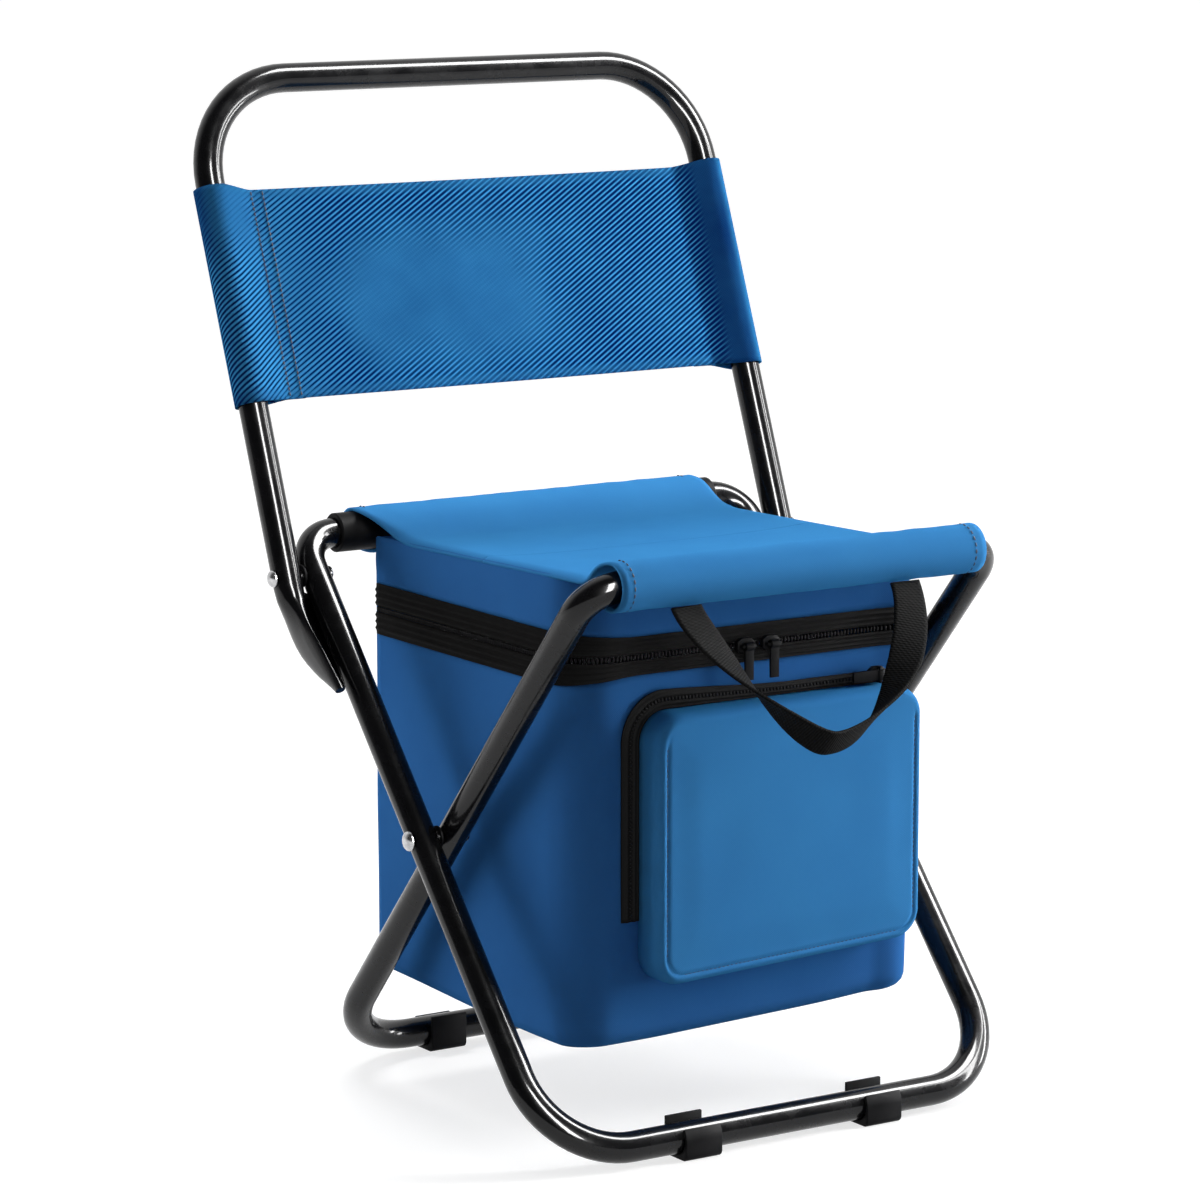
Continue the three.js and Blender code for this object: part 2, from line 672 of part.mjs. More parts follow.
function pullTab() {
  const half = pullThickness / 2;
  const edge = Math.asin(half / eyeOutside);
  const shape = new THREE.Shape();
  shape.moveTo(-half, -pullLength);
  shape.lineTo(half, -pullLength);
  shape.absarc(0, 0, eyeOutside, edge - Math.PI / 2, 1.5 * Math.PI - edge, false);
  shape.holes.push(new THREE.Path().absarc(0, 0, holeRadius(eyeInside - touchGap), 0, 2 * Math.PI, true));
  return acrossX(shape, pullWidth).translate(0, -bailBar, 0);
}

// The pull hangs across its zip, or lies along it where the slider is turned.
function addSlider(name, side, place, lies) {
  const slider = new THREE.Group();
  slider.position.copy(place);
  slider.rotation.y = lies ? Math.PI / 2 : 0;
  const [width, height] = lies ? [sliderHeight, sliderLength] : [sliderLength, sliderHeight];
  addPiece(slider, `${name}_slider${side}`, sliderBody(width, height), blackPlastic);
  addPiece(slider, `${name}_pull${side}`, pullTab(), blackPlastic);
  stool.add(slider);
}

for (const [side, sign] of sides) {
  addSlider('main_zip', `_${side}`, new THREE.Vector3(
    zipMeet + (sign * sliderApart) / 2, -bagFront - coilProud - touchGap, coilLow + coilHeight / 2), false);
}

// A raised pocket on the bag's front, closed by a zip up its left side and along its top.
const pocketLeft = pocketShift - pocketWidth / 2;
const pocketRight = pocketShift + pocketWidth / 2;
const pocketTop = zipHeight - pocketTopDrop;

function pocketFace(inset) {
  const radius = pocketCorner - inset;
  const [left, right] = [pocketLeft + pocketCorner, pocketRight - pocketCorner];
  const [low, high] = [pocketBottom + pocketCorner, pocketTop - pocketCorner];
  const shape = new THREE.Shape();
  shape.absarc(right, high, radius, 0, Math.PI / 2, false);
  shape.absarc(left, high, radius, Math.PI / 2, Math.PI, false);
  shape.absarc(left, low, radius, Math.PI, 1.5 * Math.PI, false);
  shape.absarc(right, low, radius, 1.5 * Math.PI, 2 * Math.PI, false);
  return shape;
}

function pocketShell() {
  const back = bagFront + touchGap;
  const front = bagFront + pocketDepth;
  const outside = forward(pocketFace(0), back, front);
  const inside = forward(pocketFace(pocketWall), back - pocketWall, front - pocketWall);
  return geometryOf(solidOf(outside).subtract(solidOf(inside)));
}

// A strip that keeps its distance from the pocket up its left side and along its top.
function pocketZipStrip(away, width) {
  const [x, z] = [pocketLeft + pocketCorner, pocketTop - pocketCorner];
  const [near, far] = [pocketCorner + away, pocketCorner + away + width];
  const shape = new THREE.Shape();
  shape.moveTo(x - far, pocketBottom + pocketZipFoot);
  shape.absarc(x, z, far, Math.PI, Math.PI / 2, true);
  shape.lineTo(pocketRight - pocketCorner, z + far);
  shape.lineTo(pocketRight - pocketCorner, z + near);
  shape.absarc(x, z, near, Math.PI / 2, Math.PI, false);
  shape.lineTo(x - near, pocketBottom + pocketZipFoot);
  return shape;
}

const pocketTapeFront = bagFront + touchGap + pocketTapeThickness;
const pocketCoilFront = pocketTapeFront + touchGap + pocketCoilProud;
const pocketCoilAway = touchGap + (pocketTapeWidth - pocketCoilWidth) / 2;
addPiece(stool, 'pocket_shell', pocketShell(), blueCloth);
addPiece(stool, 'pocket_zip_tape',
  forward(pocketZipStrip(touchGap, pocketTapeWidth), bagFront + touchGap, pocketTapeFront), blackTape);
addPiece(stool, 'pocket_zip_coil', forward(
  pocketZipStrip(pocketCoilAway, pocketCoilWidth), pocketTapeFront + touchGap, pocketCoilFront), blackTape);
addSlider('pocket_zip', '', new THREE.Vector3(
  pocketRight - pocketCorner - sliderLength / 2, -pocketCoilFront - touchGap,
  pocketTop + touchGap + pocketTapeWidth / 2), true);

// Carrying strap: webbing sewn under the front hem, hanging forward in a loop that twists on itself.
function carryStrap() {
  const tilt = THREE.MathUtils.degToRad(strapTilt);
  const down = new THREE.Vector3(0, -Math.sin(tilt), -Math.cos(tilt));
  const facing = new THREE.Vector3(0, -Math.cos(tilt), Math.sin(tilt));
  const half = strapSpread / 2;
  const loop = new THREE.CurvePath();
  loop.add(new THREE.CubicBezierCurve(
    new THREE.Vector2(-half, 0),
    new THREE.Vector2(-half, strapDrop * strapLeftHang),
    new THREE.Vector2(-half * strapLeftBow, strapDrop),
    new THREE.Vector2(strapSway, strapDrop)));
  loop.add(new THREE.CubicBezierCurve(
    new THREE.Vector2(strapSway, strapDrop),
    new THREE.Vector2(half * strapRightBow, strapDrop),
    new THREE.Vector2(half, strapDrop * strapRightHang),
    new THREE.Vector2(half, 0)));
  const rings = Array.from({ length: strapSteps + 1 }, (_, i) => {
    const share = i / strapSteps;
    const flat = loop.getPointAt(share);
    const slope = loop.getTangentAt(share);
    const point = new THREE.Vector3(flat.x, 0, 0).addScaledVector(down, flat.y);
    const ahead = new THREE.Vector3(slope.x, 0, 0).addScaledVector(down, slope.y);
    const turn = THREE.MathUtils.degToRad(strapLean * Math.sin(Math.PI * share) ** 2);
    const across = new THREE.Vector3().crossVectors(facing, ahead).multiplyScalar(Math.cos(turn))
      .addScaledVector(facing, -Math.sin(turn));
    const thick = new THREE.Vector3().crossVectors(ahead, across);
    return [[1, 1], [-1, 1], [-1, -1], [1, -1]].map(([wide, deep]) => point.clone()
      .addScaledVector(across, (wide * strapWidth) / 2)
      .addScaledVector(thick, (deep * strapThickness) / 2));
  });
  return skinOver(rings);
}

const seamRadius = hemRadius + touchGap + strapThickness;
const seamAngle = THREE.MathUtils.degToRad(strapSeam);
const seamReach = frontBarReach + seamRadius * Math.sin(seamAngle);
const seamHeight = frontBarHeight - seamRadius * Math.cos(seamAngle);
addPiece(stool, 'carry_strap', carryStrap().translate(strapShift, -seamReach, seamHeight), webbing);

// The origin is on the floor, in the middle of the stool.
const bounds = new THREE.Box3().setFromObject(stool, true);
stool.position.y = -(bounds.min.y + bounds.max.y) / 2;

export default stool;
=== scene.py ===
import math

import bmesh
import bpy
from mathutils import Matrix, Vector, noise


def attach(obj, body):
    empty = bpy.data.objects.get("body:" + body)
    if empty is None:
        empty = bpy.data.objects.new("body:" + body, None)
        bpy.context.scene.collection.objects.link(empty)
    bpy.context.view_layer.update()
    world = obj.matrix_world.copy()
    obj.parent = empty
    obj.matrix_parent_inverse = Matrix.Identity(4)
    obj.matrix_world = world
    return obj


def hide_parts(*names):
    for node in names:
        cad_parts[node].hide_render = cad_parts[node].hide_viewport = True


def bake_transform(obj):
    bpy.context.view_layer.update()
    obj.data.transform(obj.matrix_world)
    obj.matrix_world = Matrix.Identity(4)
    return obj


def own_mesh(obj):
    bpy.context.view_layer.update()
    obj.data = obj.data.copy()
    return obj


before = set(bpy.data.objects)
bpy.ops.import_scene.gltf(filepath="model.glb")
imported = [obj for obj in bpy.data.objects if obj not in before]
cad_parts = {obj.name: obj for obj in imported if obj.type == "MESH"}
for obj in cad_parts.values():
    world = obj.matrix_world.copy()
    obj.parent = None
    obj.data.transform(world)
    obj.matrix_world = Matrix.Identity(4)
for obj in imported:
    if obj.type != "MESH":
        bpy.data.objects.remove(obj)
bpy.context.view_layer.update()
scene = bpy.context.scene


# The camera stands to the left of the stool's front, a little higher than the seat,
# far enough away that the legs hardly draw together.
camera_spot = Vector((-1.5400, -2.31858, 0.7838))
looked_at = Vector((0.0, 0.04212, 0.2909))
camera = bpy.data.objects.new("camera", bpy.data.cameras.new("camera"))
camera.data.lens = 140.6
camera.data.sensor_width = 36.0
camera.location = camera_spot
camera.rotation_euler = (looked_at - camera_spot).to_track_quat("-Z", "Y").to_euler()
scene.collection.objects.link(camera)
scene.camera = camera


# The studio is a white floor that runs into a white backdrop, and is dark in front of the stool's left
# corner. Plain lamps light it from the right, from above, from behind the backrest and from behind on
# the left, and strips that only gloss mirrors draw the bright lines on the tubes.
scene.view_settings.view_transform = "Standard"
room_light = 0.20
dark_side = 0.05
floor_grey = (0.40, 0.40, 0.40, 1.0)
near_glow, far_glow = 0.72, 0.93
near_floor, far_floor = 0.5, 3.0
floor_half = 20.0
backdrop_way = (0.546, 0.838, 0.0)
dark_until, white_from = -0.15, 0.45
lamp_target = Vector((0.0, 0.0, 0.3))
side_spot = Vector((1.75, -0.80, 0.80))


def seen_directly(tree):
    """1 on what the camera, a reflection or clear glass sees, and 0 on what only lights the stool."""
    path = tree.nodes.new("ShaderNodeLightPath")
    seen = path.outputs["Is Camera Ray"]
    for ray in ("Is Glossy Ray", "Is Transmission Ray"):
        both = tree.nodes.new("ShaderNodeMath")
        both.operation = "MAXIMUM"
        tree.links.new(seen, both.inputs[0])
        tree.links.new(path.outputs[ray], both.inputs[1])
        seen = both.outputs[0]
    return seen


def between(tree, share, low, high, start=0.0, end=1.0):
    """Low where the share is at its start, high where it is at its end, and a soft rise between them."""
    span = tree.nodes.new("ShaderNodeMapRange")
    span.interpolation_type = "SMOOTHSTEP"
    for label, value in (("From Min", start), ("From Max", end), ("To Min", low), ("To Max", high)):
        if isinstance(value, float):
            span.inputs[label].default_value = value
        else:
            tree.links.new(value, span.inputs[label])
    tree.links.new(share, span.inputs["Value"])
    return span.outputs["Result"]


def vector_sum(tree, operation, vector, other=None):
    """A Vector Math node on a vector and a plain one."""
    node = tree.nodes.new("ShaderNodeVectorMath")
    node.operation = operation
    tree.links.new(vector, node.inputs[0])
    if other is not None:
        node.inputs[1].default_value = other
    return node.outputs["Value"]


surround = bpy.data.worlds.new("white_surround")
surround.use_nodes = True
scene.world = surround
air = surround.node_tree
sky = air.nodes["Background"]
sky.inputs["Color"].default_value = (1.0, 1.0, 1.0, 1.0)
direction = air.nodes.new("ShaderNodeTexCoord").outputs["Generated"]
behind = vector_sum(air, "DOT_PRODUCT", direction, backdrop_way)
backdrop = between(air, behind, dark_side, 1.0, dark_until, white_from)
air.links.new(between(air, seen_directly(air), room_light, backdrop), sky.inputs["Strength"])

floor_paint = bpy.data.materials.new("white_floor")
floor_paint.use_nodes = True
floor_tree = floor_paint.node_tree
floor_shader = floor_tree.nodes["Principled BSDF"]
floor_shader.inputs["Base Color"].default_value = floor_grey
floor_shader.inputs["Roughness"].default_value = 1.0
floor_shader.inputs["Specular IOR Level"].default_value = 0.0
floor_shader.inputs["Emission Color"].default_value = (1.0, 1.0, 1.0, 1.0)
floor_reach = vector_sum(floor_tree, "LENGTH", floor_tree.nodes.new("ShaderNodeTexCoord").outputs["Object"])
glow = between(floor_tree, floor_reach, near_glow, far_glow, near_floor, far_floor)
floor_tree.links.new(
    between(floor_tree, seen_directly(floor_tree), 0.0, glow), floor_shader.inputs["Emission Strength"])
floor_mesh = bmesh.new()
bmesh.ops.create_grid(floor_mesh, x_segments=1, y_segments=1, size=floor_half)
floor_data = bpy.data.meshes.new("floor")
floor_mesh.to_mesh(floor_data)
floor_mesh.free()
floor_data.materials.append(floor_paint)
floor = bpy.data.objects.new("floor", floor_data)
scene.collection.objects.link(floor)


def soft_lamp(name, spot, wide, tall, watts, mirrored):
    """A soft rectangular lamp that faces the middle of the stool, and lights it or is only mirrored in it."""
    lamp = bpy.data.objects.new(name, bpy.data.lights.new(name, "AREA"))
    lamp.data.shape = "RECTANGLE"
    lamp.data.size = wide
    lamp.data.size_y = tall
    lamp.data.energy = watts
    lamp.location = spot
    lamp.rotation_euler = (lamp_target - lamp.location).to_track_quat("-Z", "Y").to_euler()
    lamp.visible_glossy = mirrored
    lamp.visible_diffuse = not mirrored
    scene.collection.objects.link(lamp)


soft_lamp("side_light", side_spot, 0.42, 1.7, 58.0, mirrored=False)
soft_lamp("top_light", Vector((0.30, -0.45, 2.10)), 1.4, 0.40, 9.0, mirrored=False)
soft_lamp("rear_light", Vector((0.20, 1.10, 1.70)), 0.9, 0.40, 18.0, mirrored=False)
soft_lamp("left_light", Vector((-1.55, 1.35, 0.70)), 1.6, 1.6, 26.0, mirrored=False)
soft_lamp("front_strip", Vector((-0.40, -2.00, 1.30)), 0.50, 1.8, 160.0, mirrored=True)
soft_lamp("side_strip", side_spot, 0.80, 1.7, 150.0, mirrored=True)
soft_lamp("top_strip", Vector((1.20, -0.45, 1.95)), 0.60, 1.6, 125.0, mirrored=True)


# Two loops of round steel tube, painted gloss black, cross at the sides and make the legs.
# The outer loop carries the rear of the seat and the inner one, which fits inside it, the front.
tube_radius = 0.009
foot_bend = 0.054
seat_bend = 0.022
foot_height = 0.0118
outer_half, outer_foot, rear_bar = 0.161, -0.155617, Vector((0.0, 0.127883, 0.333))
inner_half, inner_foot, front_bar = 0.141, 0.127383, Vector((0.0, -0.162617, 0.340))
tube_sides = 48
bend_steps = 16
merge_gap = 0.000005
sharp_turn = math.radians(38.0)


def surface_group(name, inputs, outputs):
    """An empty shader node group with its named sockets."""
    group = bpy.data.node_groups.new(name, "ShaderNodeTree")
    for label, kind, value in inputs:
        socket = group.interface.new_socket(label, in_out="INPUT", socket_type="NodeSocket" + kind)
        if value is not None:
            socket.default_value = value
    for label, kind in outputs:
        group.interface.new_socket(label, in_out="OUTPUT", socket_type="NodeSocket" + kind)
    return group, group.nodes.new("NodeGroupInput"), group.nodes.new("NodeGroupOutput")


def sum_of(tree, operation, *terms):
    """A Math node whose terms are sockets or plain numbers."""
    node = tree.nodes.new("ShaderNodeMath")
    node.operation = operation
    for term, socket in zip(terms, node.inputs):
        if isinstance(term, (int, float)):
            socket.default_value = term
        else:
            tree.links.new(term, socket)
    return node.outputs[0]


mottle_group, mottle_in, mottle_out = surface_group(
    "mottle",
    [("Vector", "Vector", None), ("Scale", "Float", 60.0), ("Low", "Float", 0.0), ("High", "Float", 1.0)],
    [("Value", "Float")])
mottle_noise = mottle_group.nodes.new("ShaderNodeTexNoise")
mottle_noise.inputs["Detail"].default_value = 4.0
mottle_span = mottle_group.nodes.new("ShaderNodeMapRange")
mottle_span.inputs["From Min"].default_value = 0.30
mottle_span.inputs["From Max"].default_value = 0.70
for source, target in (
        (mottle_in.outputs["Vector"], mottle_noise.inputs["Vector"]),
        (mottle_in.outputs["Scale"], mottle_noise.inputs["Scale"]),
        (mottle_noise.outputs["Fac"], mottle_span.inputs["Value"]),
        (mottle_in.outputs["Low"], mottle_span.inputs["To Min"]),
        (mottle_in.outputs["High"], mottle_span.inputs["To Max"]),
        (mottle_span.outputs["Result"], mottle_out.inputs["Value"])):
    mottle_group.links.new(source, target)


def new_finish(name, **plain):
    """A material with the plain values of its shader set, and the place on the piece that patterns read."""
    finish = bpy.data.materials.new(name)
    finish.use_nodes = True
    tree = finish.node_tree
    shader = tree.nodes["Principled BSDF"]
    for label, value in plain.items():
        shader.inputs[label.replace("_", " ")].default_value = value
    place = tree.nodes.new("ShaderNodeTexCoord").outputs["Object"]
    return finish, tree, shader, place


def mottled(tree, place, scale, low, high):
    """Cloudy variation between two values."""
    node = tree.nodes.new("ShaderNodeGroup")
    node.node_tree = mottle_group
    node.inputs["Scale"].default_value = scale
    node.inputs["Low"].default_value = low
    node.inputs["High"].default_value = high
    tree.links.new(place, node.inputs["Vector"])
    return node.outputs["Value"]


def shaded(tree, share, dark, light):
    """A colour between a dark and a light one."""
    mix = tree.nodes.new("ShaderNodeMix")
    mix.data_type = "RGBA"
    mix.inputs["A"].default_value = (*dark, 1.0)
    mix.inputs["B"].default_value = (*light, 1.0)
    tree.links.new(share, mix.inputs["Factor"])
    return mix.outputs["Result"]


def raised(tree, shader, height, depth, strength=1.0):
    """Feeds a height to the shader's normal, as deep as given in metres."""
    bump = tree.nodes.new("ShaderNodeBump")
    bump.inputs["Strength"].default_value = strength
    bump.inputs["Distance"].default_value = depth
    tree.links.new(height, bump.inputs["Height"])
    tree.links.new(bump.outputs["Normal"], shader.inputs["Normal"])


def mottled_finish(name, scale, dark, light, rough=None, bump=None, **plain):
    """A finish in two mottled shades. Its roughness and bump vary too, each at a scale of its own."""
    finish, tree, shader, place = new_finish(name, **plain)
    clouds = mottled(tree, place, scale, 0.0, 1.0)
    tree.links.new(shaded(tree, clouds, dark, light), shader.inputs["Base Color"])
    if rough:
        tree.links.new(mottled(tree, place, *rough), shader.inputs["Roughness"])
    if bump:
        bump_scale, depth, strength = bump
        raised(tree, shader, mottled(tree, place, bump_scale, 0.0, 1.0), depth, strength)
    return finish


frame_paint = mottled_finish(
    "gloss_black_paint", 35.0, (0.003, 0.003, 0.004), (0.006, 0.006, 0.007), rough=(90.0, 0.20, 0.32),
    bump=(700.0, 0.00002, 0.12), Specular_IOR_Level=0.08, Coat_Weight=0.45, Coat_Roughness=0.09)


def run_on(tube, ring, along):
    """Draws a ring of edges straight on, and gives the new ring."""
    made = bmesh.ops.extrude_edge_only(tube, edges=ring)["geom"]
    fresh = {part for part in made if isinstance(part, bmesh.types.BMVert)}
    bmesh.ops.translate(tube, verts=list(fresh), vec=along)
    return [part for part in made if isinstance(part, bmesh.types.BMEdge) and fresh.issuperset(part.verts)]


def bend_on(tube, ring, centre, axis, angle):
    """Draws a ring of edges round a bend, and gives the new ring."""
    corners = list({corner for edge in ring for corner in edge.verts})
    made = bmesh.ops.spin(
        tube, geom=corners + ring, cent=centre, axis=axis, dvec=(0.0, 0.0, 0.0), angle=angle,
        steps=bend_steps, use_merge=False, use_normal_flip=False, use_duplicate=False)["geom_last"]
    return [part for part in made if isinstance(part, bmesh.types.BMEdge)]


def bent_tube(radius, stops, bends):
    """A round tube drawn from stop to stop, with each corner on its way bent to a radius."""
    tube = bmesh.new()
    heading = (stops[1] - stops[0]).normalized()
    facing = heading.to_track_quat("Z", "Y").to_matrix().to_4x4()
    bmesh.ops.create_circle(
        tube, cap_ends=False, segments=tube_sides, radius=radius,
        matrix=Matrix.Translation(stops[0]) @ facing)
    ring = list(tube.edges)
    here = stops[0]
    for corner, after, bend in zip(stops[1:-1], stops[2:], bends):
        onward = (after - corner).normalized()
        angle = heading.angle(onward)
        setback = bend * math.tan(angle / 2.0)
        axis = heading.cross(onward).normalized()
        start = corner - heading * setback
        ring = run_on(tube, ring, start - here)
        ring = bend_on(tube, ring, start + axis.cross(heading) * bend, axis, angle)
        here = corner + onward * setback
        heading = onward
    run_on(tube, ring, stops[-1] - here)
    return tube


def closed_up(piece):
    """Merges the meeting edges of a drawn or turned shape and points its faces outwards."""
    bmesh.ops.remove_doubles(piece, verts=piece.verts, dist=merge_gap)
    bmesh.ops.recalc_face_normals(piece, faces=piece.faces)
    return piece


def settled(piece, name, finish, slot, *nodes):
    """Makes a shape a piece of the stool: smooth but for its sharp edges, and standing for its nodes."""
    for face in piece.faces:
        face.smooth = True
    for edge in piece.edges:
        edge.smooth = edge.calc_face_angle(0.0) < sharp_turn
    data = bpy.data.meshes.new(name)
    piece.to_mesh(data)
    piece.free()
    data.materials.append(finish)
    made = bpy.data.objects.new(name, data)
    scene.collection.objects.link(made)
    if nodes:
        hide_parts(*nodes)
    return made


def leg_loop(half, foot, bar):
    """A loop that starts and ends in the middle of its seat bar, where a sleeve hides the joint."""
    low, high = Vector((0.0, foot, foot_height)), bar
    aside = Vector((half, 0.0, 0.0))
    stops = [high, high - aside, low - aside, low + aside, high + aside, high]
    return closed_up(bent_tube(tube_radius, stops, [seat_bend, foot_bend, foot_bend, seat_bend]))


outer_legs = settled(
    leg_loop(outer_half, outer_foot, rear_bar), "outer_legs", frame_paint, "frame_paint", "outer_leg_frame")
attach(outer_legs, "outer_frame")
inner_legs = settled(
    leg_loop(inner_half, inner_foot, front_bar), "inner_legs", frame_paint, "frame_paint", "inner_leg_frame")
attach(inner_legs, "inner_frame")


# Plain black plastic sleeves close the two loops and carry the seat's hems.
# The rear one shows at both ends, past the cloth.
sleeve_radius = 0.012
sleeve_bore = 0.00945
sleeve_edge = 0.0008
rear_sleeve_half = 0.1375
front_sleeve_half = 0.1175
turned_steps = 48

black_plastic = mottled_finish(
    "moulded_black_plastic", 50.0, (0.004, 0.004, 0.005), (0.010, 0.010, 0.011), rough=(120.0, 0.42, 0.58),
    bump=(1800.0, 0.00005, 0.5), Specular_IOR_Level=0.05)


def turned(outline, closed, place):
    """Turns an outline of distances along and out from the X axis, and puts the piece in place."""
    piece = bmesh.new()
    corners = [piece.verts.new((along, 0.0, out)) for along, out in outline]
    onward = corners[1:] + corners[:1] if closed else corners[1:]
    edges = [piece.edges.new(pair) for pair in zip(corners, onward)]
    bmesh.ops.spin(
        piece, geom=corners + edges, cent=(0.0, 0.0, 0.0), axis=(1.0, 0.0, 0.0), dvec=(0.0, 0.0, 0.0),
        angle=2.0 * math.pi, steps=turned_steps, use_merge=True, use_normal_flip=False, use_duplicate=False)
    closed_up(piece)
    bmesh.ops.transform(piece, matrix=place, verts=piece.verts)
    return piece


for name, half, bar, body in (
        ("rear_bar_sleeve", rear_sleeve_half, rear_bar, "outer_frame"),
        ("front_bar_sleeve", front_sleeve_half, front_bar, "inner_frame")):
    section = [
        (-half, sleeve_bore), (-half, sleeve_radius - sleeve_edge), (sleeve_edge - half, sleeve_radius),
        (half - sleeve_edge, sleeve_radius), (half, sleeve_radius - sleeve_edge), (half, sleeve_bore)]
    sleeve = settled(
        turned(section, True, Matrix.Translation(bar)), name.replace("_bar", ""), black_plastic,
        "black_plastic", name)
    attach(sleeve, body)


# Four snap-on feet of black plastic hold the foot bars off the floor.
# Each is a moulded channel, open on top, with eased edges.
clip_ease = 0.0006
ease_steps = 2
copy_merge_gap = 0.00001
flat_turn = math.radians(2.0)
edge_turn = math.radians(40.0)


def eased_copy(node, width):
    """A copy of a CAD node with its flat faces whole again and its sharp edges rounded off."""
    piece = bmesh.new()
    piece.from_mesh(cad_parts[node].data)
    bmesh.ops.remove_doubles(piece, verts=piece.verts, dist=copy_merge_gap)
    bmesh.ops.dissolve_limit(
        piece, angle_limit=flat_turn, use_dissolve_boundaries=False, verts=piece.verts, edges=piece.edges)
    sharp = [edge for edge in piece.edges if edge.calc_face_angle(0.0) > edge_turn]
    bmesh.ops.bevel(
        piece, geom=sharp, offset=width, offset_type="OFFSET", segments=ease_steps, profile=0.5,
        affect="EDGES", material=-1, clamp_overlap=True)
    return piece


for end, body in (("front", "outer_frame"), ("rear", "inner_frame")):
    for side in ("left", "right"):
        node = f"foot_clip_{end}_{side}"
        clip = settled(
            eased_copy(node, clip_ease), f"foot_{end}_{side}", black_plastic, "black_plastic", node)
        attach(clip, body)


# The backrest is one more bent tube. Below its pivots each end is pressed flat, curves in towards
# the leg and is cut to a slanted tip, and a lip folded from it stops against the leg.
back_half = 0.181
back_length = 0.312
back_tail = -0.006
back_bend = 0.065
back_pivot = Vector((0.0, 0.109354, 0.312007))
back_lean = math.radians(21.2)
back_place = Matrix.Translation(back_pivot) @ Matrix.Rotation(-back_lean, 4, "X")
tongue_turn = math.radians(20.233)
tongue_length = 0.086
tongue_half_width = 0.012
tongue_half_thick = 0.0026
tongue_tip = 0.0035
tongue_stages = (
    # along the tongue, turned, pressed flat, tapered, each as a share
    (0.16, 0.08, 0.10, 0.0), (0.22, 0.13, 0.35, 0.0), (0.28, 0.20, 0.62, 0.0), (0.34, 0.28, 0.82, 0.0),
    (0.41, 0.40, 0.95, 0.0), (0.48, 0.54, 1.0, 0.0), (0.56, 0.68, 1.0, 0.04), (0.64, 0.78, 1.0, 0.15),
    (0.72, 0.85, 1.0, 0.31), (0.80, 0.90, 1.0, 0.50), (0.86, 0.94, 1.0, 0.66), (0.92, 0.97, 1.0, 0.82),
    (0.97, 0.99, 1.0, 0.94), (1.0, 1.0, 0.94, 1.05))
stop_outline = (
    # across from the leg to the tongue, as a share, and down from the pivot, cut round to clear the leg
    (0.0, 0.0080), (0.18, 0.0073), (0.30, 0.0058), (0.40, 0.0033), (0.47, 0.0010),
    (1.0, 0.0010), (1.0, 0.054), (0.54, 0.074), (0.0, 0.074))
stop_gap = 0.0003
stop_thick = 0.0026
stop_ease = 0.0006


def tongue_matrix(x, along, turned_by, flat, taper):
    """Takes a round tube end at the pivot to its place and shape along the tongue."""
    angle = tongue_turn * turned_by
    wide = Vector((0.0, math.cos(angle), -math.sin(angle)))
    up = Vector((0.0, math.sin(angle), math.cos(angle)))
    full = tube_radius + (tongue_half_width - tube_radius) * flat
    half_wide = full + (tongue_tip - full) * taper
    half_thick = tube_radius + (tongue_half_thick - tube_radius) * flat
    middle = Vector((x, 0.0, 0.0)) - up * tongue_length * along + wide * (half_wide - full)
    shape = Matrix((
        (half_thick / tube_radius, 0.0, 0.0), wide * (half_wide / tube_radius), up)).transposed()
    return Matrix.Translation(middle) @ shape.to_4x4()


def end_ring(tube, x):
    """The open end of the backrest's tube on one side."""
    return [edge for edge in tube.edges if edge.is_boundary and edge.verts[0].co.x * x > 0.0]


backrest_tube = bent_tube(tube_radius, [
    Vector((-back_half, 0.0, back_tail)), Vector((-back_half, 0.0, back_length)),
    Vector((back_half, 0.0, back_length)), Vector((back_half, 0.0, back_tail))], [back_bend, back_bend])
for x in (-back_half, back_half):
    ring = end_ring(backrest_tube, x)
    before = Matrix.Translation((x, 0.0, back_tail))
    for stage in tongue_stages:
        after = tongue_matrix(x, *stage)
        ring = run_on(backrest_tube, ring, (0.0, 0.0, 0.0))
        corners = list({corner for edge in ring for corner in edge.verts})
        bmesh.ops.transform(backrest_tube, matrix=after @ before.inverted(), verts=corners)
        before = after
    bmesh.ops.edgeloop_fill(backrest_tube, edges=ring)
bmesh.ops.recalc_face_normals(backrest_tube, faces=backrest_tube.faces)
bmesh.ops.transform(backrest_tube, matrix=back_place, verts=backrest_tube.verts)
backrest_frame = settled(backrest_tube, "backrest_tube", frame_paint, "frame_paint", "backrest_frame")
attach(backrest_frame, "backrest")

stop_lips = bmesh.new()
stop_place = back_place @ Matrix.Rotation(-tongue_turn, 4, "X")
for side in (-1.0, 1.0):
    corners = []
    for share, low in stop_outline:
        x = side * (outer_half + share * (back_half - outer_half))
        corners.append(stop_lips.verts.new(stop_place @ Vector((x, tube_radius + stop_gap, -low))))
    lip = bmesh.ops.extrude_face_region(stop_lips, geom=[stop_lips.faces.new(corners)])
    bmesh.ops.translate(
        stop_lips, vec=stop_place.to_3x3() @ Vector((0.0, stop_thick, 0.0)),
        verts=[part for part in lip["geom"] if isinstance(part, bmesh.types.BMVert)])
bmesh.ops.recalc_face_normals(stop_lips, faces=stop_lips.faces)
bmesh.ops.bevel(
    stop_lips, geom=list(stop_lips.edges), offset=stop_ease, offset_type="OFFSET", segments=ease_steps,
    profile=0.5, affect="EDGES", material=-1, clamp_overlap=True)
stops = settled(stop_lips, "backrest_stops", frame_paint, "frame_paint")
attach(stops, "backrest")


# Steel rivets join the legs to each other and the backrest to the legs, domed outside and
# clenched inside, with a black washer between the tubes.
leg_pivot = Vector((0.0, -0.014195, 0.172026))
rivet_gap = 0.0003
rivet_grip = 0.0386
shank = 0.003
head_height = 0.0030
tail_height = 0.0020
tail_radius = 0.0045
dome_steps = 8
leg_head_radius, back_head_radius = 0.0060, 0.00525
washer_ease = 0.0003

